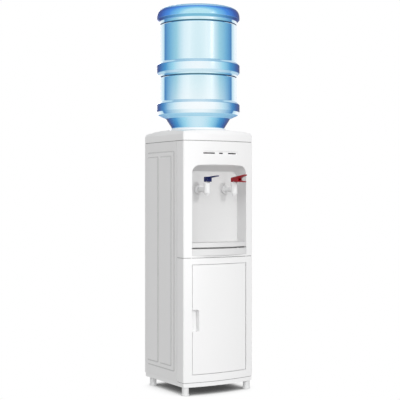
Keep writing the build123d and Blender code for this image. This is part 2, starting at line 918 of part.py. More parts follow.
def tap_gasket():
    """Flat seal between the flange and the bay's wall."""
    start = (0, tap_reach - gasket_thickness, 0)
    return tube(start, REAR, flange_radius - 0.5, shank_radius + 0.1, gasket_thickness)


# Lower front, cupboard and door


def frame_opening(grow, back_y):
    """Space of the door's rebate, or with grow the block its walls are cut from."""
    low = (-opening_half_width - grow, front_y - 5.0, door_bottom_z - door_gap - grow)
    high = (opening_half_width + grow, back_y, door_top_z + door_gap + grow)
    return between(low, high)


def lower_front_frame():
    """Bowed surround of the door, with a rebate and the stop that the door shuts against."""
    filled = plan_solid(body_z, seam_z, 0.0, return_y)
    frame = filled - plan_solid(body_z, seam_z, moulding_wall, return_y + 1.0)
    behind = plan_solid(body_z, seam_z, 0.0, half_depth)
    frame += frame_opening(moulding_wall, liner_front_y) & behind
    frame -= frame_opening(0.0, stop_y)
    low = (-opening_half_width + stop_width, front_y, door_bottom_z + stop_width * 0.6)
    high = (opening_half_width - stop_width * 0.5, liner_front_y + 1, door_top_z - stop_width * 0.6)
    frame -= between(low, high)
    for start, direction in hinge_ends():
        frame -= rod(start, direction, hinge_pin_radius, hinge_pin_length)
    return frame - return_grooves(body_z, seam_z) - seam_groove(body_z)


def hinge_ends():
    """Inner end of each hinge pin and the way it points, upper one first."""
    reach = hinge_pin_length - moulding_wall - door_gap
    top = (hinge_x, hinge_y, door_top_z - reach)
    bottom = (hinge_x, hinge_y, door_bottom_z + reach)
    return [(top, UP), (bottom, DOWN)]


def hinge_pins():
    """Two short pins in the frame that the door turns on."""
    return [rod(start, direction, hinge_pin_radius, hinge_pin_length) for start, direction in hinge_ends()]


def door_block(inset, back_y):
    """Door outline with its bowed face, moved in by inset on the front and all four edges."""
    half = door_half_width - inset
    edge_y = front_line(half, inset)
    bow = ThreePointArc((-half, edge_y), (0, front_line(0, inset)), (half, edge_y))
    rest = Polyline((half, edge_y), (half, back_y), (-half, back_y), (-half, edge_y))
    face = make_face(bow.edges() + rest.edges())
    height = door_top_z - door_bottom_z - 2 * inset
    if inset > 0:
        return Pos(0, 0, door_bottom_z + inset) * extrude(face, height)
    hinge_corner = face.vertices().sort_by(Axis.Y)[:2].sort_by(Axis.X)[-1]
    face = fillet(hinge_corner, hinge_inset)
    block = Pos(0, 0, door_bottom_z) * extrude(face, height)
    front = [edge for edge in block.edges() if edge.center().Y < door_edge_y + 1.0]
    return fillet([edge for edge in front if edge.center().X < half / 2], door_round)


def notch_block(grow):
    """Finger cup in the door's free edge, with rounded inner corners."""
    width = notch_width + grow
    height = notch_height + 2 * grow
    face = RectangleRounded(2 * width, height, notch_corner + grow)
    floor_y = door_edge_y + notch_depth + grow
    plane = Plane(origin=(-door_half_width, front_y, notch_z), x_dir=RIGHT, z_dir=REAR)
    return extrude(plane * face, floor_y - front_y)


def door_panel():
    """Hollow moulded door with a bowed skin, edge walls, a finger cup and hinge bosses."""
    hollow = door_block(door_skin, door_back_y + 1) - notch_block(door_skin)
    for start, direction in hinge_ends():
        boss_foot = (hinge_x, hinge_y, start[2] - direction[2] * 3.0)
        hollow -= rod(boss_foot, direction, hinge_pin_radius + hinge_boss, hinge_pin_length + 10)
    door = door_block(0.0, door_back_y) - hollow - notch_block(0.0)
    for start, direction in hinge_ends():
        mouth = (hinge_x, hinge_y, start[2] - direction[2] * 0.5)
        door -= rod(mouth, direction, hinge_pin_radius + 0.08, 20)
    return door


def door_liner():
    """Flat inner plate let into the door's back."""
    half = door_half_width - door_skin - fit_gap
    low = (-half, door_back_y - door_liner_thickness, door_bottom_z + door_skin + fit_gap)
    high = (half, door_back_y, door_top_z - door_skin - fit_gap)
    boss_clearance = hinge_pin_radius + hinge_boss + fit_gap
    boss_column = rod((hinge_x, hinge_y, door_bottom_z - 5), UP, boss_clearance, lower_height)
    return between(low, high) - boss_column


def magnet_block(grow):
    """Place of the catch magnet behind the frame's stop, grown by a clearance."""
    half_x = magnet_width / 2 + grow
    half_z = magnet_height / 2 + grow
    low = (catch_x - half_x, liner_front_y - grow, catch_z - half_z)
    return between(low, (catch_x + half_x, liner_front_y + magnet_depth + grow, catch_z + half_z))


def door_magnet():
    """Catch magnet behind the frame's stop, near the door's free edge."""
    return magnet_block(0.0)


def strike_plate():
    """Steel plate inside the door's liner that the magnet holds."""
    back = door_back_y - door_liner_thickness
    half_x = magnet_width / 2 - 1.0
    half_z = magnet_height / 2 - 2.0
    low = (catch_x - half_x, back - strike_thickness, catch_z - half_z)
    return between(low, (catch_x + half_x, back, catch_z + half_z))


def cabinet_liner():
    """Open-fronted storage box behind the frame, standing on two runners."""
    outer = between(
        (-liner_half_width, liner_front_y, liner_floor_z),
        (liner_half_width, liner_rear_y, seam_z),
    )
    inner = between(
        (-liner_half_width + liner_wall, liner_front_y - 1, liner_floor_z + liner_wall),
        (liner_half_width - liner_wall, liner_rear_y - liner_wall, seam_z - liner_wall),
    )
    liner = outer - inner
    for x in (-liner_half_width * 0.7, liner_half_width * 0.7):
        liner += between(
            (x - 4, liner_front_y + 30, base_z + moulding_wall), (x + 4, liner_rear_y - 20, liner_floor_z)
        )
    return liner - magnet_block(1.0)


# Bottle and its seat


def bottle_outline(inset):
    """Corners (radius, height) and roundings of the bottle's wall from its mouth to its base."""
    neck = neck_radius - inset
    body = bottle_radius - inset
    ring = body + ring_rise
    lift = inset * 0.6
    outline = [
        (neck, 0.0, 0.0),
        (neck, neck_height + lift, 6.0),
        (shoulder_radius - inset, shoulder_height + lift, shoulder_round),
        (waist_radius - inset, waist_height + lift, waist_round),
        (ring - low_ring_step, underside_height + lift, underside_round),
    ]
    outline += ring_corners(ring, body, low_ring_foot, low_ring_height)[1:]
    outline += groove_corners(body, mid_ring_foot - mid_groove_drop)
    outline += ring_corners(ring, body, mid_ring_foot, mid_ring_height)
    outline += groove_corners(body, top_ring_foot - top_groove_drop)
    outline += [
        (body, top_ring_foot - ring_slope, edge_round),
        (ring, top_ring_foot, edge_round),
        (ring, bottle_height - base_rise - inset, base_round - inset),
        (0.0, bottle_height - inset, 0.0),
    ]
    return outline


def ring_corners(ring, body, foot, height):
    """Corners of a stiffening ring with sloped flanks, from the body out and back."""
    top = foot + height
    return [
        (body, foot - ring_slope, edge_round),
        (ring, foot, edge_round),
        (ring, top, edge_round),
        (body, top + ring_slope, edge_round),
    ]


def groove_corners(body, level):
    """Corners of a shallow groove round the body."""
    return [
        (body, level - groove_half_height, groove_round),
        (body - groove_depth, level, groove_round),
        (body, level + groove_half_height, groove_round),
    ]


def bottle_core(inset):
    """Solid inside the bottle's outline, moved inwards by inset."""
    outline = bottle_outline(inset)
    points = [(r, h) for r, h, _ in outline]
    rounds = [radius for _, _, radius in outline[1:-1]]
    wall = FilletPolyline(*points, radius=rounds)
    closing = Polyline(points[-1], (0.0, 0.0), points[0])
    return revolve(Plane.XZ * make_face(wall.edges() + closing.edges()), Axis.Z)


def water_bottle():
    """Blow-moulded ring-necked bottle, upside down with its mouth in the seat."""
    bottle = bottle_core(0.0) - bottle_core(bottle_wall)
    return Pos(0, 0, mouth_z) * bottle


def bottle_cap():
    """Snap cap on the neck with the hole that the probe opens."""
    inner = neck_radius + 0.1
    cap = rod((0, 0, mouth_z - cap_wall), UP, inner + cap_wall, cap_height)
    cap -= rod((0, 0, mouth_z), UP, inner, cap_height)
    return cap - rod((0, 0, mouth_z - cap_wall - 1), UP, cap_hole, cap_wall + 2)


def cone_level(radius):
    """Height of the bottle's lower cone at a radius, in the standing frame."""
    return mouth_z + neck_height + (radius - neck_radius) * cone_slope


def bottle_seat():
    """Funnel that hangs in the collar: flange, cone under the bottle's shoulder, and the probe's well."""
    top = collar_top_z + seat_wall
    lower = cone_level(well_radius) - seat_gap
    floor = well_floor_z
    outline = [
        (0, floor - seat_wall),
        (well_radius + seat_wall, floor - seat_wall),
        (well_radius + seat_wall, lower - seat_wall),
        (seat_radius + seat_wall, top - 2 * seat_wall),
        (seat_radius + seat_wall, collar_top_z),
        (collar_radius + seat_flange - 0.5, collar_top_z),
        (collar_radius + seat_flange - 0.5, top),
        (seat_radius, top),
        (well_radius, lower),
        (well_radius, floor),
        (0, floor),
    ]
    seat = turned(outline)
    return seat - rod((0, 0, floor - seat_wall - 1), UP, probe_radius - probe_wall, seat_wall + 2)


def feed_probe():
    """Hollow spike that enters the cap, with a pointed top and water windows."""
    outline = [
        (probe_radius - probe_wall, 0),
        (probe_radius + 6.0, 0),
        (probe_radius + 6.0, 2.5),
        (probe_radius, 2.5),
        (probe_radius, probe_height - 8.0),
        (2.0, probe_height),
        (0, probe_height),
        (0, probe_height - 4.0),
        (probe_radius - probe_wall, probe_height - 10.0),
    ]
    probe = turned(outline)
    for turn in (0, 90):
        probe -= Rot(0, 0, turn) * between((-30, -3, probe_height - 28), (30, 3, probe_height - 13))
    return Pos(0, 0, well_floor_z) * probe


# Cold side behind the bay


def flat_disc(radius, flat):
    """Circle with its rear cut off straight."""
    return Circle(radius) & Pos(0, flat - radius) * Rectangle(2 * radius, 2 * radius)


def cold_tank():
    """Small cold tank with a flat rear for the cooler, a lid hole and two outlets below."""
    tank = Pos(0, 0, tank_bottom_z) * extrude(flat_disc(cold_tank_radius, cold_flat), cold_tank_height)
    inner = flat_disc(cold_tank_radius - tank_wall, cold_flat - tank_wall)
    tank -= Pos(0, 0, tank_bottom_z + tank_wall) * extrude(inner, cold_tank_height - 2 * tank_wall)
    tank -= rod((0, 0, tank_top_z - tank_wall - 1), UP, 30.0, tank_wall + 2)
    for x, y in ((cold_port_x, cold_port_y), (feed_x, feed_y)):
        spigot = rod((x, y, tank_bottom_z), DOWN, barb_radius, jacket_wall + spigot_length)
        start = (x, y, tank_bottom_z + tank_wall + 1)
        bore = rod(start, DOWN, water_bore, jacket_wall + spigot_length + 10)
        tank = tank + spigot - bore
    return tank


def tank_baffle():
    """Perforated disc that keeps the warm feed above the cold water."""
    disc = flat_disc(cold_tank_radius - tank_wall - fit_gap, cold_flat - tank_wall - fit_gap)
    level = tank_bottom_z + cold_tank_height * 0.6
    baffle = Pos(0, 0, level) * extrude(disc, 2.0)
    for place in PolarLocations(38.0, 8):
        baffle -= Pos(0, 0, level) * place * Cylinder(4.0, 10.0)
    return baffle


def cold_tank_jacket():
    """Foam cup round the cold tank, open at the rear for the cold block."""
    radius = cold_tank_radius + jacket_wall
    jacket = Pos(0, 0, shelf_z) * extrude(flat_disc(radius, cold_flat + jacket_wall), cold_tank_height)
    room = flat_disc(cold_tank_radius + 0.2, cold_flat + 0.2)
    jacket -= Pos(0, 0, tank_bottom_z) * extrude(room, cold_tank_height)
    half = block_size / 2 + fit_gap
    jacket -= between((-half, cold_flat - 5, tank_bottom_z + 4), (half, cold_flat + 40, tank_top_z + 10))
    for x, y in ((cold_port_x, cold_port_y), (feed_x, feed_y)):
        jacket -= rod((x, y, shelf_z - 1), UP, barb_radius + 0.5, jacket_wall + 2)
    return jacket


def tank_shelf():
    """Folded shelf that carries the cold tank; its flanges run forward to the side panels' front lips."""
    half = half_width - sheet_wall
    bottom = shelf_z - sheet_wall
    front = return_y + sheet_wall + 18.0
    rear = cold_flat + jacket_wall
    shelf = between((-half, front, bottom), (half, rear, shelf_z))
    for side in (-1, 1):
        x0, x1 = sorted((side * half, side * (half - sheet_wall)))
        shelf += between((x0, return_y + sheet_wall, shelf_z - shelf_flange), (x1, rear, shelf_z))
    for x, y in ((cold_port_x, cold_port_y), (feed_x, feed_y)):
        shelf -= rod((x, y, bottom - 1), UP, hose_radius + 0.5, sheet_wall + 2)
    return shelf


def cold_block():
    """Aluminium block between the tank's flat and the thermoelectric plate."""
    half = block_size / 2
    return between((-half, cold_flat, cooler_z - half), (half, plate_y, cooler_z + half))


def peltier_plate():
    """Thermoelectric plate that moves heat from the block to the sink."""
    half = plate_size / 2
    return between((-half, plate_y, cooler_z - half), (half, sink_y, cooler_z + half))


def heat_sink():
    """Finned heat sink with upright fins towards the fan."""
    half = sink_size / 2
    sink = between((-half, sink_y, cooler_z - half), (half, sink_y + sink_base, cooler_z + half))
    pitch = (sink_size - sink_fin) / (sink_fins - 1)
    for k in range(sink_fins):
        x = -half + k * pitch
        sink += between((x, sink_y, cooler_z - half), (x + sink_fin, fan_y, cooler_z + half))
    return sink


def fan_frame():
    """Square fan housing with a round duct, four struts and the motor's hub at its rear."""
    half = sink_size / 2
    frame = between((-half, fan_y, cooler_z - half), (half, fan_y + fan_depth, cooler_z + half))
    frame -= rod((0, fan_y - 1, cooler_z), REAR, fan_duct, fan_depth + 2)
    hub_y = fan_y + fan_depth - fan_hub_plate
    hub = rod((0, hub_y, cooler_z), REAR, fan_hub, fan_hub_plate)
    for turn in range(45, 405, 90):
        strut = between((0, hub_y, -2), (fan_duct + 1, hub_y + 3, 2))
        hub += Pos(0, 0, cooler_z) * Rot(0, turn, 0) * strut
    frame += hub
    return frame - rod((0, hub_y - 1, cooler_z), REAR, fan_shaft + 0.05, fan_hub_plate)


def fan_rotor():
    """Hub with raked blades and the shaft that runs in the frame's bearing."""
    length = fan_depth - 7.0
    start = fan_y + 1.5
    rotor = rod((0, start, cooler_z), REAR, fan_hub, length)
    ring = tube((0, start, cooler_z), REAR, fan_duct - fan_tip_gap, fan_hub - 1.0, length)
    for k in range(fan_blades):
        blade = Rot(blade_rake, 0, 0) * Box(fan_duct - fan_hub + 6, 3 * length, blade_thickness)
        blade = Pos((fan_hub + fan_duct) / 2, 0, 0) * blade
        placed = Pos(0, start + length / 2, cooler_z) * Rot(0, 360 * k / fan_blades, 0) * blade
        rotor += placed & ring
    return rotor + rod((0, start, cooler_z), REAR, fan_shaft, length + fan_hub_plate)


# Hot side below the cold tank


def hot_tank():
    """Closed steel can with two ports on top and a drain port low on its rear."""
    centre = (tap_x, hot_tank_y)
    tank = rod((*centre, hot_bottom_z), UP, hot_tank_radius, hot_tank_height)
    for x, y in hot_ports():
        tank += rod((x, y, hot_top_z), UP, barb_radius, spigot_length)
    drain_start = (tap_x, hot_tank_y, drain_z)
    drain_length = hot_tank_radius + jacket_wall + spigot_length + 4.0
    tank += rod(drain_start, REAR, barb_radius, drain_length)
    inner_height = hot_tank_height - 2 * tank_wall
    tank -= rod((*centre, hot_bottom_z + tank_wall), UP, hot_tank_radius - tank_wall, inner_height)
    for x, y in hot_ports():
        tank -= rod((x, y, hot_top_z - 5), UP, water_bore, spigot_length + 6)
    return tank - rod(drain_start, REAR, water_bore, drain_length + 1)


def hot_ports():
    """Outlet and inlet on the hot tank's top, as (x, y)."""
    return [(tap_x, hot_tank_y - outlet_front), (feed_x, feed_y)]


def hot_tank_jacket():
    """Foam sleeve and floor round the hot tank."""
    inner = hot_tank_radius + heater_thickness + 0.4
    jacket = rod((tap_x, hot_tank_y, seam_z), UP, inner + jacket_wall, hot_tank_height)
    jacket -= rod((tap_x, hot_tank_y, hot_bottom_z), UP, inner, hot_tank_height)
    return jacket - rod((tap_x, hot_tank_y, drain_z), REAR, barb_radius + 0.5, 2 * inner + jacket_wall)


def heater_band():
    """Clamped heater band round the can, with its split at the front."""
    level = drain_z + heater_rise
    outer = hot_tank_radius + heater_thickness
    band = tube((tap_x, hot_tank_y, level), UP, outer, hot_tank_radius + 0.1, heater_height)
    low = (tap_x - 3, hot_tank_y - outer - 1, level - 1)
    return band - between(low, (tap_x + 3, hot_tank_y, level + heater_height + 1))


def thermostats():
    """Control and cut-out discs clamped on the can's top."""
    discs = []
    for x in (tap_x - 8.0, tap_x + 20.0):
        y = hot_tank_y + 8.0 if x > tap_x else hot_tank_y - 2.0
        disc = rod((x, y, hot_top_z), UP, thermostat_radius, 6.0)
        discs.append(disc + rod((x, y, hot_top_z + 6.0), UP, thermostat_radius - 3.0, 5.0))
    return discs


def hose(points, radii):
    """Water hose along straight runs with tangent bends."""
    if radii:
        path = FilletPolyline(*points, radius=radii)
    else:
        path = Line(*points)
    start = Plane(origin=path @ 0, z_dir=path % 0)
    outer = sweep(start * Circle(hose_radius), path)
    return outer - sweep(start * Circle(hose_bore), path)


def cold_hose():
    """From the cold tap's barb up to the cold tank's front outlet."""
    start_y = bay_wall_y + barb_start
    turn_y = cold_port_y - 13.0
    points = [
        (-tap_x, start_y, tap_z),
        (-tap_x, turn_y, tap_z),
        (cold_port_x, cold_port_y, tap_z + 3.0),
        (cold_port_x, cold_port_y, shelf_z),
    ]
    return hose(points, [10.0, 10.0])


def hot_hose():
    """From the hot tap's barb down to the hot tank's outlet."""
    outlet_x, outlet_y = hot_ports()[0]
    points = [
        (tap_x, bay_wall_y + barb_start, tap_z),
        (tap_x, outlet_y, tap_z),
        (outlet_x, outlet_y, hot_top_z),
    ]
    return hose(points, [hose_bend])


def hot_feed_hose():
    """Straight drop from the cold tank's baffle outlet to the hot tank's inlet."""
    return hose([(feed_x, feed_y, hot_top_z), (feed_x, feed_y, shelf_z)], [])


def drain_pipe():
    """Straight hose from the hot tank's drain port to the rear fitting."""
    start = hot_tank_y + hot_tank_radius + heater_thickness + jacket_wall + 1.0
    return hose([(tap_x, start, drain_z), (tap_x, rear_inner_y - bush_nut, drain_z)], [])


# Rear services


def rear_bush(x, z, bore, barb):
    """Flanged bush through the rear panel with a nut inside and, for the drain, a hose barb."""
    nut_y = rear_inner_y - bush_nut
    bush = rod((x, nut_y, z), REAR, fitting_radius, sheet_wall + bush_nut)
    bush += rod((x, half_depth, z), REAR, fitting_flange, bush_flange)
    bush += rod((x, nut_y, z), REAR, fitting_flange - 1.0, bush_nut)
    if barb:
        bush += rod((x, nut_y - barb_length, z), REAR, barb_radius, barb_length)
        bush += rod((x, half_depth, z), REAR, fitting_radius - 1.0, bush_flange + plug_length - 4.0)
    through = barb_length + bush_nut + sheet_wall + bush_flange + plug_length
    return bush - rod((x, nut_y - barb_length - 1, z), REAR, bore, through + 2)


def drain_fitting():
    """Drain outlet on the rear panel."""
    return rear_bush(tap_x, drain_z, water_bore, True)


def cord_gland():
    """Bush that the power cord passes through."""
    return rear_bush(gland_x, gland_z, gland_bore, False)


def drain_plug():
    """Ribbed screw plug that closes the drain outlet."""
    plug = rod((tap_x, plug_y, drain_z), REAR, plug_radius, plug_length)
    plug -= rod((tap_x, plug_y - 1, drain_z), REAR, fitting_radius - 1.0 + fit_gap, plug_length - 3.0)
    for place in PolarLocations(plug_radius + 0.6, 12):
        rib = Pos(tap_x, plug_y + plug_length / 2, drain_z) * Rot(90, 0, 0) * place
        plug -= rib * Cylinder(1.8, plug_length + 2)
    return plug


def switch_block(x, grow, from_back, to_front):
    """Rectangular block through the rear panel at a switch, grown by a clearance."""
    half_x = rocker_width / 2 + switch_rim + grow
    half_z = rocker_height / 2 + switch_rim + grow
    low = (x - half_x, rear_inner_y + from_back, switch_z - half_z)
    high = (x + half_x, rear_inner_y + to_front, switch_z + half_z)
    return between(low, high)


def switch_housings():
    """Two rocker housings with a rim on the rear panel and a well for the rocker."""
    housings = []
    for x in (-switch_spacing / 2, switch_spacing / 2):
        housing = switch_block(x, 0.0, -switch_depth, sheet_wall)
        housing += switch_block(x, 2.0, sheet_wall, sheet_wall + 1.5)
        half_x = rocker_width / 2 + fit_gap
        half_z = rocker_height / 2 + 1.0
        housing -= between(
            (x - half_x, rear_inner_y - switch_depth + 3.0, switch_z - half_z),
            (x + half_x, half_depth + 5.0, switch_z + half_z),
        )
        pivot = (x - half_x - 1.2, rocker_y, switch_z)
        housing -= rod(pivot, RIGHT, trunnion_radius + 0.05, 2 * half_x + 2.4)
        housings.append(housing)
    return housings


def rocker(x):
    """Rocker with two sloped faces on its trunnions, resting in its off position."""
    half = rocker_height / 2 - 0.6
    outline = [
        (-5.0, -3.0),
        (-5.0, 3.0),
        (0.0, half),
        (4.5, half - 0.6),
        (2.6, 0.0),
        (4.5, 0.6 - half),
        (0.0, -half),
    ]
    body = side_profile(outline, rocker_width)
    body += rod((-rocker_width / 2 - 0.9, 0, 0), RIGHT, trunnion_radius, rocker_width + 1.8)
    return Pos(x, rocker_y, switch_z) * Rot(-rocker_tilt, 0, 0) * body


def power_board():
    """Circuit board on four posts with its transformer, capacitors and connectors."""
    low_x = -half_width + sheet_flange
    high_x = low_x + board_width
    end = board_length / 2
    level = seam_z + board_stand
    board = between((low_x, -end, level), (high_x, end, level + board_thickness))
    for x in (low_x + board_post_inset, high_x - board_post_inset):
        for y in (board_post_inset - end, end - board_post_inset):
            board += rod((x, y, seam_z), UP, board_post_radius, board_stand)
    corner = low_x + transformer_inset
    half_side = transformer_side / 2
    top = level + transformer_height
    board += between((corner, -half_side, level), (corner + transformer_side, half_side, top))
    for y in (capacitor_edge - end, end - capacitor_edge):
        board += rod((high_x - capacitor_edge, y, level), UP, capacitor_radius, capacitor_height)
    corner = low_x + board_post_inset
    half_length = connector_length / 2
    far = (corner + connector_width, half_length, level + connector_height)
    return board + between((corner, -half_length, level), far)


def pieces():
    """Every node's solid, or list of solids, by name."""
    taps = (-tap_x, tap_x)
    nodes = {
        "base_plate": base_plate(),
        "support_feet": support_feet(),
        "left_side_panel": pierced_side_panel(-1),
        "right_side_panel": pierced_side_panel(1),
        "rear_panel": rear_panel(),
        "panel_screws": panel_screws(),
        "top_cover": top_cover(),
        "upper_front_panel": upper_front_panel(),
        "indicator_bezel": indicator_bezel(),
        "indicator_lenses": indicator_lenses(),
        "lower_front_frame": lower_front_frame(),
        "cabinet_liner": cabinet_liner(),
        "door_panel": door_panel(),
        "door_liner": door_liner(),
        "hinge_pins": hinge_pins(),
        "door_magnet": door_magnet(),
        "strike_plate": strike_plate(),
        "water_bottle": water_bottle(),
        "bottle_cap": bottle_cap(),
        "bottle_seat": bottle_seat(),
        "feed_probe": feed_probe(),
        "cold_tank": cold_tank(),
        "tank_baffle": tank_baffle(),
        "cold_tank_jacket": cold_tank_jacket(),
        "tank_shelf": tank_shelf(),
        "cold_block": cold_block(),
        "peltier_plate": peltier_plate(),
        "heat_sink": heat_sink(),
        "fan_frame": fan_frame(),
        "fan_rotor": fan_rotor(),
        "hot_tank": hot_tank(),
        "hot_tank_jacket": hot_tank_jacket(),
        "heater_band": heater_band(),
        "thermostats": thermostats(),
        "cold_hose": cold_hose(),
        "hot_hose": hot_hose(),
        "hot_feed_hose": hot_feed_hose(),
        "drain_pipe": drain_pipe(),
        "drain_fitting": drain_fitting(),
        "drain_plug": drain_plug(),
        "cord_gland": cord_gland(),
        "switch_housings": switch_housings(),
        "heating_rocker": rocker(-switch_spacing / 2),
        "cooling_rocker": rocker(switch_spacing / 2),
        "power_board": power_board(),
        "drip_tray": drip_tray(),
        "drip_grille": drip_grille(),
        "cold_tap_body": at_tap(tap_body(), -tap_x),
        "hot_tap_body": at_tap(tap_body(), tap_x),
        "cold_tap_bonnet": at_tap(tap_bonnet(), -tap_x),
        "hot_tap_bonnet": at_tap(tap_bonnet(), tap_x),
        "cold_valve_stem": at_tap(valve_stem(), -tap_x),
        "hot_valve_stem": at_tap(valve_stem(), tap_x),
        "cold_lever": at_tap(cold_lever(), -tap_x),
        "hot_lever": at_tap(hot_lever(), tap_x),
        "hot_lock_trigger": at_tap(hot_lock_trigger(), tap_x),
        "lever_pins": [at_tap(lever_pin(), x) for x in taps],
        "tap_nuts": [at_tap(tap_nut(), x) for x in taps],
        "tap_gaskets": [at_tap(tap_gasket(), x) for x in taps],
    }
    return nodes


def write_parts():
    """Move every piece to the shared frame and write it out."""
    os.makedirs("parts", exist_ok=True)
    for name, shape in pieces().items():
        solids = shape if isinstance(shape, list) else [shape]
        moved = [Pos(0, origin_shift, 0) * solid for solid in solids]
        export_step(moved[0] if len(moved) == 1 else Compound(children=moved), f"parts/{name}.step")


if __name__ == "__main__":
    write_parts()
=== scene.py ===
import bmesh
import bpy
from math import cos, pi, sin, tan
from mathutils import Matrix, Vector


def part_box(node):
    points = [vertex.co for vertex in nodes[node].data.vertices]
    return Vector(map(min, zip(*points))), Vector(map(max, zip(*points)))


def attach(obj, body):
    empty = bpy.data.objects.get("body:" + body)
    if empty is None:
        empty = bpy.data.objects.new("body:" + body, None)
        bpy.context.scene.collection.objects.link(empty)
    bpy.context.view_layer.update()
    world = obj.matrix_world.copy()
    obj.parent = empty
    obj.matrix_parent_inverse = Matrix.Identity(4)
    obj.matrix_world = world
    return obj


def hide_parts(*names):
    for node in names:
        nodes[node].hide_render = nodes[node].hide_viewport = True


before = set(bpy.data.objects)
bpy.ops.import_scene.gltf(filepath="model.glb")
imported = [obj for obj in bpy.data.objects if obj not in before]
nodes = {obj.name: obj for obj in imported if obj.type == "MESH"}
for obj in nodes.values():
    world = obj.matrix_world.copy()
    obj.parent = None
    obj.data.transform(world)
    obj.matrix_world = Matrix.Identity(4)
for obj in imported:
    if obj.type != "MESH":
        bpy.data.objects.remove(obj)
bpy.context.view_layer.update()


# Base and feet: a shallow tray moulded in glossy white plastic, which carries the whole cabinet,
# and four push-in feet in a softer, slightly greyer plastic.
def new_finish(name):
    """New material with its node tree and its main shader."""
    finish = bpy.data.materials.new(name)
    finish.use_nodes = True
    return finish, finish.node_tree, main_shader(finish)


def main_shader(finish):
    """The shader that a material starts with."""
    return finish.node_tree.nodes["Principled BSDF"]


def feed(tree, slot, term):
    """Link a socket to a slot, or set the slot to a plain value."""
    if isinstance(term, bpy.types.NodeSocket):
        tree.links.new(term, slot)
    else:
        slot.default_value = term


def computed(tree, operation, *terms):
    """Result of a Math node on sockets or plain numbers."""
    node = tree.nodes.new("ShaderNodeMath")
    node.operation = operation
    for slot, term in zip(node.inputs, terms):
        feed(tree, slot, term)
    return node.outputs["Value"]


def ranged(tree, value, start, stop, low, high):
    """Map a value's range start ... stop to low ... high, and hold it at both ends."""
    node = tree.nodes.new("ShaderNodeMapRange")
    feed(tree, node.inputs["Value"], value)
    feed(tree, node.inputs["From Min"], start)
    feed(tree, node.inputs["From Max"], stop)
    feed(tree, node.inputs["To Min"], low)
    feed(tree, node.inputs["To Max"], high)
    return node.outputs["Result"]


def blended(tree, share, first, second):
    """Blend of two colours by a share; each is a socket, or its red, green and blue."""
    mix = tree.nodes.new("ShaderNodeMix")
    mix.data_type = "RGBA"
    feed(tree, mix.inputs["Factor"], share)
    for slot, colour in (("A", first), ("B", second)):
        feed(tree, mix.inputs[slot], (*colour, 1.0) if isinstance(colour, tuple) else colour)
    return mix.outputs["Result"]


def object_axis(tree, axis):
    """One axis of the Object coordinates."""
    place = tree.nodes.new("ShaderNodeTexCoord")
    split = tree.nodes.new("ShaderNodeSeparateXYZ")
    tree.links.new(place.outputs["Object"], split.inputs["Vector"])
    return split.outputs[axis]


def object_noise(tree, scale, detail, stretch=(1.0, 1.0, 1.0)):
    """Noise on Object coordinates, finer along the axes with a larger stretch."""
    place = tree.nodes.new("ShaderNodeTexCoord")
    mapping = tree.nodes.new("ShaderNodeMapping")
    mapping.inputs["Scale"].default_value = stretch
    noise = tree.nodes.new("ShaderNodeTexNoise")
    noise.inputs["Scale"].default_value = scale
    noise.inputs["Detail"].default_value = detail
    tree.links.new(place.outputs["Object"], mapping.inputs["Vector"])
    tree.links.new(mapping.outputs["Vector"], noise.inputs["Vector"])
    return noise.outputs["Fac"]


def spread(tree, noise, low, high):
    """Map a noise's middle range to low ... high."""
    return ranged(tree, noise, 0.3, 0.7, low, high)


def relief(tree, shader, value, height):
    """Bump of a given height in metres from a value."""
    bump = tree.nodes.new("ShaderNodeBump")
    bump.inputs["Distance"].default_value = height
    tree.links.new(value, bump.inputs["Height"])
    tree.links.new(bump.outputs["Normal"], shader.inputs["Normal"])


def moulded(name, light, deep, rough, grain=700.0, height=0.00002, cloud=7.0):
    """Moulded plastic: faint cloudiness in its colour and gloss, and the mould's fine grain."""
    finish, tree, shader = new_finish(name)
    clouds = spread(tree, object_noise(tree, cloud, 3.0), 0.0, 1.0)
    tree.links.new(blended(tree, clouds, light, deep), shader.inputs["Base Color"])
    gloss = object_noise(tree, cloud * 6.0, 4.0)
    tree.links.new(spread(tree, gloss, rough * 0.96, rough * 1.04), shader.inputs["Roughness"])
    relief(tree, shader, object_noise(tree, grain, 2.0), height)
    return finish


def height_bands(tree, foot, bands):
    """1 inside the given height ranges above a foot, 0 outside."""
    height = object_axis(tree, "Z")
    total = 0.0
    for low, high in bands:
        inside = computed(tree, "COMPARE", height, foot + (low + high) / 2, (high - low) / 2)
        total = computed(tree, "ADD", total, inside)
    return total


def repaint(finish, mask, tone):
    """Give the part of a finish where a mask is 1 another colour."""
    tree = finish.node_tree
    base = main_shader(finish).inputs["Base Color"]
    tree.links.new(blended(tree, mask, base.links[0].from_socket, tone), base)


def white_gloss(name):
    """The casing's white moulding, with painted shade in the grooves above its three level joints."""
    finish = moulded(name, (0.88, 0.88, 0.88), (0.873, 0.874, 0.876), 0.30, grain=900.0, height=0.000002)
    groove_foot, groove_top = 0.0001, 0.0019
    joints = [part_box(node)[0].z for node in ("lower_front_frame", "upper_front_panel", "top_cover")]
    grooves = [(z + groove_foot, z + groove_top) for z in joints]
    # Painted shade: a dark grey band fills each groove above the joints.
    repaint(finish, height_bands(finish.node_tree, 0.0, grooves), (0.25, 0.25, 0.25))
    return finish


def dress(finish, *names):
    """Give CAD nodes a finish."""
    for name in names:
        nodes[name].data.materials.clear()
        nodes[name].data.materials.append(finish)


white_moulding = white_gloss("white_moulding")
foot_moulding = moulded(
    "foot_moulding", (0.80, 0.80, 0.80), (0.75, 0.755, 0.76), 0.42, grain=900.0, height=0.00004
)
dress(white_moulding, "base_plate")
dress(foot_moulding, "support_feet")


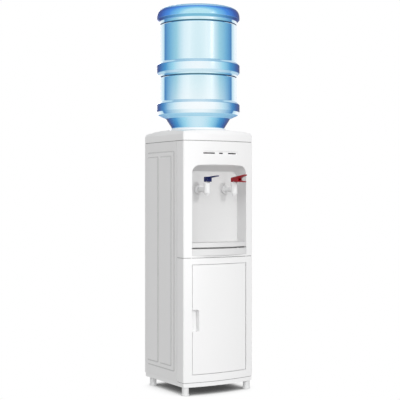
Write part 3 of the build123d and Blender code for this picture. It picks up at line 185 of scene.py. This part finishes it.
# Storage box and shelf: the cupboard's liner is a satin white moulding that stands on the base,
# and a folded zinc-plated shelf between the side panels carries the cold tank.
def plated_steel(name, light, deep, rough, along):
    """Plated or rolled metal with the fine lines of its rolling along one axis."""
    finish, tree, shader = new_finish(name)
    shader.inputs["Metallic"].default_value = 1.0
    stretch = [1.0 if axis == along else 40.0 for axis in "xyz"]
    lines = object_noise(tree, 14.0, 4.0, stretch)
    tree.links.new(blended(tree, spread(tree, lines, 0.0, 1.0), light, deep), shader.inputs["Base Color"])
    tree.links.new(spread(tree, lines, rough * 0.8, rough * 1.2), shader.inputs["Roughness"])
    relief(tree, shader, lines, 0.00002)
    return finish


satin_moulding = moulded(
    "satin_moulding", (0.83, 0.83, 0.82), (0.79, 0.79, 0.785), 0.5, grain=1200.0, height=0.00005
)
zinc_sheet = plated_steel("zinc_sheet", (0.66, 0.67, 0.69), (0.55, 0.56, 0.58), 0.36, "x")
dress(satin_moulding, "cabinet_liner")
dress(zinc_sheet, "tank_shelf")


# Hot side: a closed stainless can in a foam sleeve, with a clamped heater band and two thermostats.
# Silicone hoses join it to the cold tank above, to the hot tap and to the drain.
def bead_foam(name, light, deep):
    """Expanded bead foam: pale cells pressed against each other."""
    finish, tree, shader = new_finish(name)
    place = tree.nodes.new("ShaderNodeTexCoord")
    cells = tree.nodes.new("ShaderNodeTexVoronoi")
    cells.inputs["Scale"].default_value = 260.0
    tree.links.new(place.outputs["Object"], cells.inputs["Vector"])
    tree.links.new(blended(tree, cells.outputs["Distance"], light, deep), shader.inputs["Base Color"])
    tree.links.new(spread(tree, cells.outputs["Distance"], 0.85, 0.95), shader.inputs["Roughness"])
    relief(tree, shader, cells.outputs["Distance"], -0.0006)
    return finish


can_steel = plated_steel("can_steel", (0.68, 0.68, 0.69), (0.58, 0.585, 0.60), 0.28, "z")
tank_foam = bead_foam("tank_foam", (0.88, 0.88, 0.85), (0.72, 0.72, 0.69))
switch_black = moulded(
    "switch_black", (0.035, 0.035, 0.037), (0.022, 0.022, 0.024), 0.45, grain=1000.0, height=0.00005
)
hose_silicone = moulded(
    "hose_silicone", (0.78, 0.80, 0.79), (0.70, 0.72, 0.71), 0.38, grain=500.0, height=0.00003
)
main_shader(hose_silicone).inputs["Transmission Weight"].default_value = 0.25
dress(can_steel, "hot_tank", "heater_band", "cold_tank")
dress(tank_foam, "hot_tank_jacket", "cold_tank_jacket")
dress(switch_black, "thermostats", "fan_frame", "fan_rotor", "cord_gland", "switch_housings")
dress(hose_silicone, "cold_hose", "hot_hose", "hot_feed_hose", "drain_pipe", "tap_gaskets")


# Cold side: an aluminium block and a thermoelectric plate pressed between the cold tank's flat
# and a finned heat sink, which the fan cools through the slots of the rear panel.
extruded_aluminium = plated_steel("extruded_aluminium", (0.80, 0.81, 0.82), (0.70, 0.71, 0.72), 0.32, "z")
plate_ceramic = moulded(
    "plate_ceramic", (0.86, 0.86, 0.84), (0.80, 0.80, 0.78), 0.55, grain=1500.0, height=0.00003
)
dress(extruded_aluminium, "cold_block", "heat_sink")
dress(plate_ceramic, "peltier_plate")
dress(satin_moulding, "tank_baffle")


# Power board: a green lacquered board on posts with a transformer, capacitors and a connector,
# which stand higher than the board and are dark.
board_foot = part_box("power_board")[0].z
board_face = board_foot + 0.0098
board_finish, board_tree, board_shader = new_finish("board_lacquer")
board_parts = computed(board_tree, "GREATER_THAN", object_axis(board_tree, "Z"), board_face)
board_colour = blended(board_tree, board_parts, (0.03, 0.16, 0.06), (0.03, 0.03, 0.035))
board_tree.links.new(board_colour, board_shader.inputs["Base Color"])
board_tracks = object_noise(board_tree, 240.0, 1.0, (1.0, 0.25, 1.0))
board_tree.links.new(spread(board_tree, board_tracks, 0.3, 0.5), board_shader.inputs["Roughness"])
relief(board_tree, board_shader, board_tracks, 0.00006)
dress(board_finish, "power_board")


# Side and rear panels: folded steel sheet, sprayed white with a slight orange peel. The sides have
# pressed fields, whose sloped edges are painted darker as painted shade.
def lean_along(tree, axis):
    """How far a surface faces along an axis, from 0 to 1, either way."""
    surface = tree.nodes.new("ShaderNodeNewGeometry")
    split = tree.nodes.new("ShaderNodeSeparateXYZ")
    tree.links.new(surface.outputs["Normal"], split.inputs["Vector"])
    return computed(tree, "ABSOLUTE", split.outputs[axis])


painted_sheet = moulded(
    "painted_sheet", (0.84, 0.84, 0.84), (0.833, 0.834, 0.836), 0.36, grain=330.0, height=0.000006, cloud=4.0
)
sheet_tree = painted_sheet.node_tree
crease_lean, crease_reach = 0.75, 0.20
# Painted shade: the sloped edges of the pressed fields are painted a darker grey than the flats.
crease_painted_shade = computed(sheet_tree, "COMPARE", lean_along(sheet_tree, "X"), crease_lean, crease_reach)
repaint(painted_sheet, crease_painted_shade, (0.58, 0.58, 0.58))
dress(painted_sheet, "left_side_panel", "right_side_panel", "rear_panel")


# Rear panel's screws: domed zinc-plated heads with a cross recess, through the panel into the folds
# of the side panels. One head is turned and cut here, and a node tree sets it in its eight places.
screw_low, screw_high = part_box("panel_screws")
screw_radius = 0.0035
head_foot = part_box("rear_panel")[1].y
head_height = screw_high.y - head_foot


def place_mesh(name, mesh):
    """New object at the origin for a mesh."""
    piece = bpy.data.objects.new(name, mesh)
    bpy.context.scene.collection.objects.link(piece)
    return piece


def lathe(name, profile, steps):
    """Surface of revolution about z from (radius, height) points, closed where the radius is 0."""
    work = bmesh.new()
    rings = []
    for radius, height in profile:
        if radius == 0.0:
            rings.append([work.verts.new((0.0, 0.0, height))] * steps)
        else:
            turns = [2.0 * pi * k / steps for k in range(steps)]
            rings.append([work.verts.new((radius * cos(a), radius * sin(a), height)) for a in turns])
    for first, second in zip(rings, rings[1:]):
        for k in range(steps):
            corners = [first[k], first[(k + 1) % steps], second[(k + 1) % steps], second[k]]
            corners = list(dict.fromkeys(corners))
            if len(corners) > 2:
                work.faces.new(corners).smooth = True
    bmesh.ops.recalc_face_normals(work, faces=work.faces)
    mesh = bpy.data.meshes.new(name)
    work.to_mesh(mesh)
    work.free()
    return place_mesh(name, mesh)


def crossed_head():
    """Domed head on the xy plane whose top is sunk along a cross."""
    edge_height = head_height * 0.35
    dome_rise = head_height - edge_height
    dome_steps = 24
    dome = [(screw_radius, 0.0)]
    for k in range(dome_steps + 1):
        share = 1.0 - k / dome_steps
        dome.append((screw_radius * share, edge_height + dome_rise * (1.0 - share**2) ** 0.5))
    head = lathe("screw_head", dome, 96)
    arm, half_slot, sink = screw_radius * 0.62, screw_radius * 0.16, head_height * 0.5
    for vertex in head.data.vertices:
        x, y = abs(vertex.co.x), abs(vertex.co.y)
        if max(x, y) < arm and min(x, y) < half_slot and vertex.co.z > sink:
            vertex.co.z -= sink
    return head


def set_in_places(name, piece, places, turn, finish):
    """Copies of a piece at given places, turned alike, as one plain mesh."""
    tree = bpy.data.node_groups.new(name, "GeometryNodeTree")
    tree.interface.new_socket("Geometry", in_out="INPUT", socket_type="NodeSocketGeometry")
    source = tree.interface.new_socket("Piece", in_out="INPUT", socket_type="NodeSocketObject")
    turned = tree.interface.new_socket("Turn", in_out="INPUT", socket_type="NodeSocketVector")
    coat = tree.interface.new_socket("Finish", in_out="INPUT", socket_type="NodeSocketMaterial")
    tree.interface.new_socket("Geometry", in_out="OUTPUT", socket_type="NodeSocketGeometry")
    start = tree.nodes.new("NodeGroupInput")
    end = tree.nodes.new("NodeGroupOutput")
    info = tree.nodes.new("GeometryNodeObjectInfo")
    spots = tree.nodes.new("GeometryNodeInstanceOnPoints")
    real = tree.nodes.new("GeometryNodeRealizeInstances")
    paint = tree.nodes.new("GeometryNodeSetMaterial")
    tree.links.new(start.outputs["Piece"], info.inputs["Object"])
    tree.links.new(start.outputs["Geometry"], spots.inputs["Points"])
    tree.links.new(info.outputs["Geometry"], spots.inputs["Instance"])
    tree.links.new(start.outputs["Turn"], spots.inputs["Rotation"])
    tree.links.new(spots.outputs["Instances"], real.inputs["Geometry"])
    tree.links.new(real.outputs["Geometry"], paint.inputs["Geometry"])
    tree.links.new(start.outputs["Finish"], paint.inputs["Material"])
    tree.links.new(paint.outputs["Geometry"], end.inputs["Geometry"])
    mesh = bpy.data.meshes.new(name + "_places")
    mesh.from_pydata(places, [], [])
    holder = place_mesh(name + "_places", mesh)
    modifier = holder.modifiers.new(name, "NODES")
    modifier.node_group = tree
    modifier[source.identifier] = piece
    modifier[turned.identifier] = turn
    modifier[coat.identifier] = finish
    evaluated = holder.evaluated_get(bpy.context.evaluated_depsgraph_get())
    result = place_mesh(name, bpy.data.meshes.new_from_object(evaluated))
    bpy.data.objects.remove(holder)
    bpy.data.objects.remove(piece)
    return result


screw_x = screw_high.x - screw_radius
second_screw_z, third_screw_z = 0.236, 0.452
screw_levels = (screw_low.z + screw_radius, second_screw_z, third_screw_z, screw_high.z - screw_radius)
screw_places = [(side * screw_x, head_foot, z) for side in (-1, 1) for z in screw_levels]
facing_rear = (-pi / 2, 0.0, 0.0)
screw_heads = set_in_places("screw_heads", crossed_head(), screw_places, facing_rear, zinc_sheet)
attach(screw_heads, "cabinet")
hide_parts("panel_screws")


# Rear services: a satin drain outlet with its ribbed screw plug, and two glossy rocker switches, red for
# heating and green for cooling, which snap into black housings in the rear panel.
heating_red = moulded("heating_red", (0.35, 0.002, 0.010), (0.31, 0.002, 0.009), 0.30)
cooling_green = moulded("cooling_green", (0.02, 0.20, 0.07), (0.016, 0.17, 0.06), 0.24)
dress(satin_moulding, "drain_fitting", "drain_plug")
dress(heating_red, "heating_rocker")
dress(cooling_green, "cooling_rocker")


# Lower front: the door's bowed surround, the hollow moulded door with its inner plate, its two steel
# hinge pins, and the magnet catch with its strike plate.
ferrite = moulded("ferrite", (0.05, 0.05, 0.052), (0.035, 0.035, 0.037), 0.7, grain=1600.0, height=0.00006)
dress(white_moulding, "lower_front_frame", "door_panel")
dress(satin_moulding, "door_liner")
dress(can_steel, "hinge_pins", "strike_plate", "lever_pins")
dress(ferrite, "door_magnet")


# Upper front: one glossy white moulding whose tap bay is painted greyer, as painted shade of the recess, and
# the indicator strip with three smoked windows let into it.
def bay_shade_mask(tree, half_width, start_y):
    """1 inside the bay, which lies behind a depth and between its side walls."""
    across = computed(tree, "ABSOLUTE", object_axis(tree, "X"))
    between_walls = computed(tree, "LESS_THAN", across, half_width)
    behind_front = computed(tree, "GREATER_THAN", object_axis(tree, "Y"), start_y)
    return computed(tree, "MULTIPLY", between_walls, behind_front)


panel_moulding = white_gloss("panel_moulding")
bay_half_width = 0.1052
bay_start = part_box("upper_front_panel")[0].y + 0.0115
# Painted shade: the bay's back, walls and ceiling are painted a darker grey than the front.
repaint(panel_moulding, bay_shade_mask(panel_moulding.node_tree, bay_half_width, bay_start), (0.73, 0.73, 0.73))
smoked_lens = moulded(
    "smoked_lens", (0.012, 0.012, 0.014), (0.008, 0.008, 0.009), 0.08, grain=300.0, height=0.000004
)
dress(panel_moulding, "upper_front_panel")
dress(white_moulding, "indicator_bezel")
dress(smoked_lens, "indicator_lenses")


# Taps: white bodies with a spout and a screw bonnet, a navy lever for cold water and a red one with
# its child-lock trigger for hot water. The levers' plastic is less shiny than the casing.
tap_white = moulded(
    "tap_white", (0.86, 0.86, 0.86), (0.85, 0.852, 0.855), 0.24, grain=900.0, height=0.000002
)
cold_navy = moulded("cold_navy", (0.005, 0.014, 0.115), (0.004, 0.011, 0.098), 0.30)
for lever_finish in (cold_navy, heating_red):
    main_shader(lever_finish).inputs["Specular IOR Level"].default_value = 0.2
dress(tap_white, "cold_tap_body", "hot_tap_body", "cold_tap_bonnet", "hot_tap_bonnet")
dress(satin_moulding, "cold_valve_stem", "hot_valve_stem", "tap_nuts")
dress(cold_navy, "cold_lever")
dress(heating_red, "hot_lever", "hot_lock_trigger")


# Drip tray and its slotted grille: satin mouldings in a darker grey than the casing, painted shade of the
# bay they sit in. The tray slides out of the bay and the grille lifts off it for cleaning.
# Painted shade: the tray's grey matches the bay's painted shade.
tray_satin_bay_shade = moulded(
    "tray_satin_bay_shade", (0.74, 0.74, 0.74), (0.73, 0.73, 0.732), 0.42, grain=1000.0, height=0.000004
)
dress(tray_satin_bay_shade, "drip_tray", "drip_grille")


# Top cover: a glossy white moulding on the body, with a raised collar. The funnel that seats the bottle
# hangs in the collar, and the feed probe stands in the funnel's well.
dress(white_moulding, "top_cover", "bottle_seat", "feed_probe")


# Bottle: one blow-moulded piece of clear blue plastic, standing on its head and snapped into its cap, with
# three stiffening rings and two grooves. The blue is the tint of plastic and water; its changes over the
# angle to the viewer and over height are painted light: deep blue at the edges of rings, base and bowl, a
# painted pale rim of refracted light on the straight walls, a painted pale glow on the lower wall, and
# painted shade in the grooves and under the base's lip.
cap_blue = moulded("cap_blue", (0.30, 0.52, 0.76), (0.26, 0.47, 0.70), 0.4)
dress(cap_blue, "bottle_cap")

bottle_low, bottle_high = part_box("water_bottle")
bottle_height = bottle_high.z - bottle_low.z
axis_y = (bottle_low.y + bottle_high.y) / 2
neck_radius, body_radius, ring_radius, groove_radius = 0.0275, 0.128, 0.137, 0.1255
low_groove, high_groove = 0.2505, 0.4225


def groove_corners(level):
    """Corners (radius, height, rounding) of a shallow groove round the body."""
    half, rounding = 0.0035, 0.001
    return [
        (body_radius, level - half, rounding),
        (groove_radius, level, rounding),
        (body_radius, level + half, rounding),
    ]


def rounded_profile(corners, foot, arc_steps):
    """Points (radius, height) along corners with their own roundings, moved up to a foot height."""
    points = [Vector(corners[0][:2])]
    for before, corner, after in zip(corners, corners[1:], corners[2:]):
        here = Vector(corner[:2])
        back = (Vector(before[:2]) - here).normalized()
        ahead = (Vector(after[:2]) - here).normalized()
        cut = corner[2] / tan(back.angle(ahead) / 2)
        start = here + back * cut
        stop = here + ahead * cut
        for k in range(arc_steps + 1):
            share = k / arc_steps
            near = start.lerp(here, share)
            points.append(near.lerp(here.lerp(stop, share), share))
    points.append(Vector(corners[-1][:2]))
    return [(point.x, point.y + foot) for point in points]


# Corners (radius, height, rounding) from the mouth over bowl, rings and grooves to the base's middle.
bottle_corners = [
    (neck_radius, 0.0, 0.0),
    (neck_radius, 0.046, 0.006),
    (0.086, 0.084, 0.014),
    (0.106, 0.116, 0.006),
    (0.131, 0.127, 0.004),
    (ring_radius, 0.139, 0.003),
    (ring_radius, 0.161, 0.003),
    (body_radius, 0.170, 0.003),
    *groove_corners(low_groove),
    (body_radius, 0.257, 0.003),
    (ring_radius, 0.266, 0.003),
    (ring_radius, 0.290, 0.003),
    (body_radius, 0.299, 0.003),
    *groove_corners(high_groove),
    (body_radius, 0.433, 0.003),
    (ring_radius, 0.442, 0.003),
    (ring_radius, 0.474, 0.029),
    (0.0, 0.488, 0.0),
]


def facing_ramp(tree, facing, stops):
    """Colour over the angle to the viewer, from 0 where a surface faces it to 1 at its edge."""
    ramp = tree.nodes.new("ShaderNodeValToRGB")
    while len(ramp.color_ramp.elements) < len(stops):
        ramp.color_ramp.elements.new(0.5)
    for element, (place, colour) in zip(ramp.color_ramp.elements, stops):
        element.position = place
        element.color = (*colour, 1.0)
    tree.links.new(facing, ramp.inputs["Fac"])
    return ramp.outputs["Color"]


bottle_finish, bottle_tree, bottle_shader = new_finish("bottle_blue")
to_viewer = bottle_tree.nodes.new("ShaderNodeLayerWeight")
to_viewer.inputs["Blend"].default_value = 0.5
facing = to_viewer.outputs["Facing"]
# Painted refraction over the wall's blue tint: pale where it faces the viewer, a dark band, then a pale rim
# at the edge.
wall_tint_and_painted_rim = facing_ramp(bottle_tree, facing, [
    (0.0, (0.60, 0.81, 0.88)),
    (0.04, (0.75, 0.91, 0.97)),
    (0.08, (0.68, 0.86, 0.94)),
    (0.18, (0.31, 0.61, 0.75)),
    (0.33, (0.14, 0.41, 0.66)),
    (0.49, (0.045, 0.20, 0.48)),
    (0.53, (0.50, 0.75, 0.87)),
    (0.70, (0.87, 0.94, 1.0)),
])
# Painted refraction on the rings: pale where they face the viewer, deep blue towards their edges.
ring_blue = facing_ramp(bottle_tree, facing, [
    (0.0, (0.86, 0.94, 0.98)),
    (0.07, (0.74, 0.89, 0.96)),
    (0.21, (0.32, 0.66, 0.83)),
    (0.38, (0.06, 0.30, 0.60)),
    (0.60, (0.020, 0.10, 0.35)),
    (0.80, (0.007, 0.026, 0.15)),
])
# Painted refraction on the base: pale where it faces the viewer, deep blue towards its edge.
base_blue = facing_ramp(bottle_tree, facing, [
    (0.0, (0.47, 0.78, 0.87)),
    (0.07, (0.45, 0.77, 0.90)),
    (0.14, (0.19, 0.54, 0.83)),
    (0.31, (0.055, 0.25, 0.74)),
    (0.56, (0.018, 0.085, 0.40)),
    (0.80, (0.005, 0.021, 0.15)),
])
# Painted light: the sloped bowl and shoulders are painted pale.
slope_painted_light = facing_ramp(bottle_tree, facing, [
    (0.0, (0.86, 0.95, 0.98)),
    (0.32, (0.78, 0.92, 0.97)),
    (0.44, (0.50, 0.76, 0.88)),
    (0.60, (0.28, 0.56, 0.76)),
    (0.90, (0.10, 0.28, 0.54)),
])
# Painted shade: a dark line under the base ring's lip.
lip_painted_shade = facing_ramp(bottle_tree, facing, [
    (0.0, (0.24, 0.57, 0.71)),
    (0.20, (0.18, 0.48, 0.66)),
    (0.36, (0.05, 0.22, 0.48)),
    (0.60, (0.01, 0.04, 0.22)),
])
# Painted shade in the two grooves.
groove_painted_shade = facing_ramp(bottle_tree, facing, [(0.0, (0.03, 0.16, 0.22)), (0.5, (0.01, 0.03, 0.10))])
clear = (1.0, 1.0, 1.0)

# Heights above the bottle's mouth where each tint lies.
bowl_and_rings = [(0.05, 0.116), (0.137, 0.163), (0.264, 0.292)]
base_ring = [(0.433, bottle_height - 0.0001)]
base_lip = [(0.434, 0.441)]
groove_reach = 0.002
grooves = [(level - groove_reach, level + groove_reach) for level in (low_groove, high_groove)]
pale_foot, palest, pale_top, pale_share = 0.127, 0.150, 0.255, 0.45

mouth_z = bottle_low.z
slope_start, slope_full = 0.60, 0.75
sloped = ranged(bottle_tree, lean_along(bottle_tree, "Z"), slope_start, slope_full, 0.0, 1.0)
tint = blended(bottle_tree, height_bands(bottle_tree, mouth_z, bowl_and_rings), wall_tint_and_painted_rim, ring_blue)
tint = blended(bottle_tree, height_bands(bottle_tree, mouth_z, base_ring), tint, base_blue)
tint = blended(bottle_tree, sloped, tint, slope_painted_light)
tint = blended(bottle_tree, height_bands(bottle_tree, mouth_z, base_lip), tint, lip_painted_shade)
tint = blended(bottle_tree, height_bands(bottle_tree, mouth_z, grooves), tint, groove_painted_shade)

# Painted glow: the lower straight wall is painted pale, most where it faces the viewer.
height = object_axis(bottle_tree, "Z")
lowness = ranged(bottle_tree, height, mouth_z + pale_top, mouth_z + palest, 0.0, pale_share)
side_facing, front_facing = 0.45, 0.08
frontal = ranged(bottle_tree, facing, side_facing, front_facing, 0.0, 1.0)
lower_wall = height_bands(bottle_tree, mouth_z, [(pale_foot, pale_top)])
painted_glow = computed(bottle_tree, "MULTIPLY", computed(bottle_tree, "MULTIPLY", lowness, frontal), lower_wall)
tint = blended(bottle_tree, painted_glow, tint, clear)

# Only the outer face tints, so that the wall colours what lies behind it once, to the ramp's square.
surface = bottle_tree.nodes.new("ShaderNodeNewGeometry")
tint = blended(bottle_tree, surface.outputs["Backfacing"], tint, clear)
deepened = bottle_tree.nodes.new("ShaderNodeGamma")
deepened.inputs["Gamma"].default_value = 2.0
bottle_tree.links.new(tint, deepened.inputs["Color"])
bottle_tree.links.new(deepened.outputs["Color"], bottle_shader.inputs["Base Color"])
bottle_shader.inputs["Roughness"].default_value = 0.0
bottle_shader.inputs["IOR"].default_value = 1.0
bottle_shader.inputs["Transmission Weight"].default_value = 1.0
bottle_shader.inputs["Coat Weight"].default_value = 0.35
bottle_shader.inputs["Coat Roughness"].default_value = 0.22

arc_steps, turn_steps = 8, 160
bottle_wall = lathe("bottle_wall", rounded_profile(bottle_corners, mouth_z, arc_steps), turn_steps)
for vertex in bottle_wall.data.vertices:
    vertex.co.y += axis_y
bottle_wall.data.materials.append(bottle_finish)
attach(bottle_wall, "bottle")
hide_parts("water_bottle")


# Studio: a white glowing floor with a shadow near the feet painted from ambient occlusion, a white surround
# that glows from the front left, a key light and a low light in front, one light behind, and the camera
# fitted to the photograph.
def seen_directly(tree):
    """1 for rays from the camera and for mirrored or transmitted ones."""
    path = tree.nodes.new("ShaderNodeLightPath")
    total = path.outputs["Is Camera Ray"]
    for name in ("Is Glossy Ray", "Is Transmission Ray"):
        total = computed(tree, "MAXIMUM", total, path.outputs[name])
    return total


def studio_floor():
    """Large white glowing floor, with a painted shadow from ambient occlusion only close under the object.
    """
    mesh = bpy.data.meshes.new("studio_floor")
    reach = 30.0
    corners = [(-reach, -reach, 0.0), (reach, -reach, 0.0), (reach, reach, 0.0), (-reach, reach, 0.0)]
    mesh.from_pydata(corners, [], [(0, 1, 2, 3)])
    finish, tree, shader = new_finish("floor_white")
    tree.nodes.remove(shader)
    # Painted shadow: the floor's glow is dimmed where ambient occlusion finds the object close above.
    near = tree.nodes.new("ShaderNodeAmbientOcclusion")
    near.inputs["Distance"].default_value = 0.11
    near.samples = 16
    open_floor, darkest = 0.72, 0.03
    shade = ranged(tree, near.outputs["AO"], 0.0, open_floor, darkest, 1.0)
    shade.node.interpolation_type = "SMOOTHSTEP"
    glow = tree.nodes.new("ShaderNodeEmission")
    tree.links.new(ranged(tree, seen_directly(tree), 0.0, 1.0, floor_glow, shade), glow.inputs["Strength"])
    tree.links.new(glow.outputs["Emission"], tree.nodes["Material Output"].inputs["Surface"])
    mesh.materials.append(finish)
    return place_mesh("studio_floor", mesh)


floor_glow = 0.40
rear_glow = 0.06
front_glow = 1.86
glow_side = Vector((-0.8, -1.0, 0.0)).normalized()
studio_floor()

world = bpy.data.worlds.new("white_surround")
world.use_nodes = True
sky = world.node_tree
surround = sky.nodes["Background"]
surround.inputs["Color"].default_value = (1.0, 1.0, 1.0, 1.0)
direction = sky.nodes.new("ShaderNodeTexCoord")
toward_glow = sky.nodes.new("ShaderNodeVectorMath")
toward_glow.operation = "DOT_PRODUCT"
toward_glow.inputs[1].default_value = glow_side
sky.links.new(direction.outputs["Generated"], toward_glow.inputs[0])
falling_off = ranged(sky, toward_glow.outputs["Value"], 0.0, 1.0, rear_glow, front_glow)
brightness = ranged(sky, seen_directly(sky), 0.0, 1.0, falling_off, 1.0)
sky.links.new(brightness, surround.inputs["Strength"])
bpy.context.scene.world = world


def aimed(sight):
    """Rotation of a light or camera that looks along a line of sight."""
    return sight.to_track_quat("-Z", "Y").to_euler()


def softbox(name, place, target, width, height, power):
    """Rectangular soft light that faces a point and isn't seen itself."""
    light = bpy.data.lights.new(name, "AREA")
    light.shape = "RECTANGLE"
    light.size = width
    light.size_y = height
    light.energy = power
    lamp = bpy.data.objects.new(name, light)
    lamp.location = place
    lamp.rotation_euler = aimed(Vector(target) - Vector(place))
    lamp.visible_camera = False
    lamp.visible_transmission = False
    bpy.context.scene.collection.objects.link(lamp)


softbox("key_light", (0.55, -3.3, 1.8), (0.0, -0.1, 0.5), 0.4, 0.4, 27.0)
softbox("low_light", (0.1, -3.4, 0.35), (0.0, -0.1, 0.2), 1.2, 0.6, 11.0)
softbox("rear_light", (0.9, 2.8, 1.6), (0.0, 0.1, 0.6), 1.0, 1.6, 45.0)

camera_side, camera_setback, camera_height = -1.724, 2.924, 0.630
line_of_sight = Vector((0.5261, 0.8504, 0.0))
camera = bpy.data.cameras.new("photo_camera")
camera.lens = 89.55
camera.sensor_width = 36.0
camera.shift_y = -0.0115
viewer = bpy.data.objects.new("photo_camera", camera)
viewer.location = (camera_side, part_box("rear_panel")[1].y - camera_setback, camera_height)
viewer.rotation_euler = aimed(line_of_sight)
bpy.context.scene.collection.objects.link(viewer)
bpy.context.scene.camera = viewer
bpy.context.scene.view_settings.view_transform = "Standard"
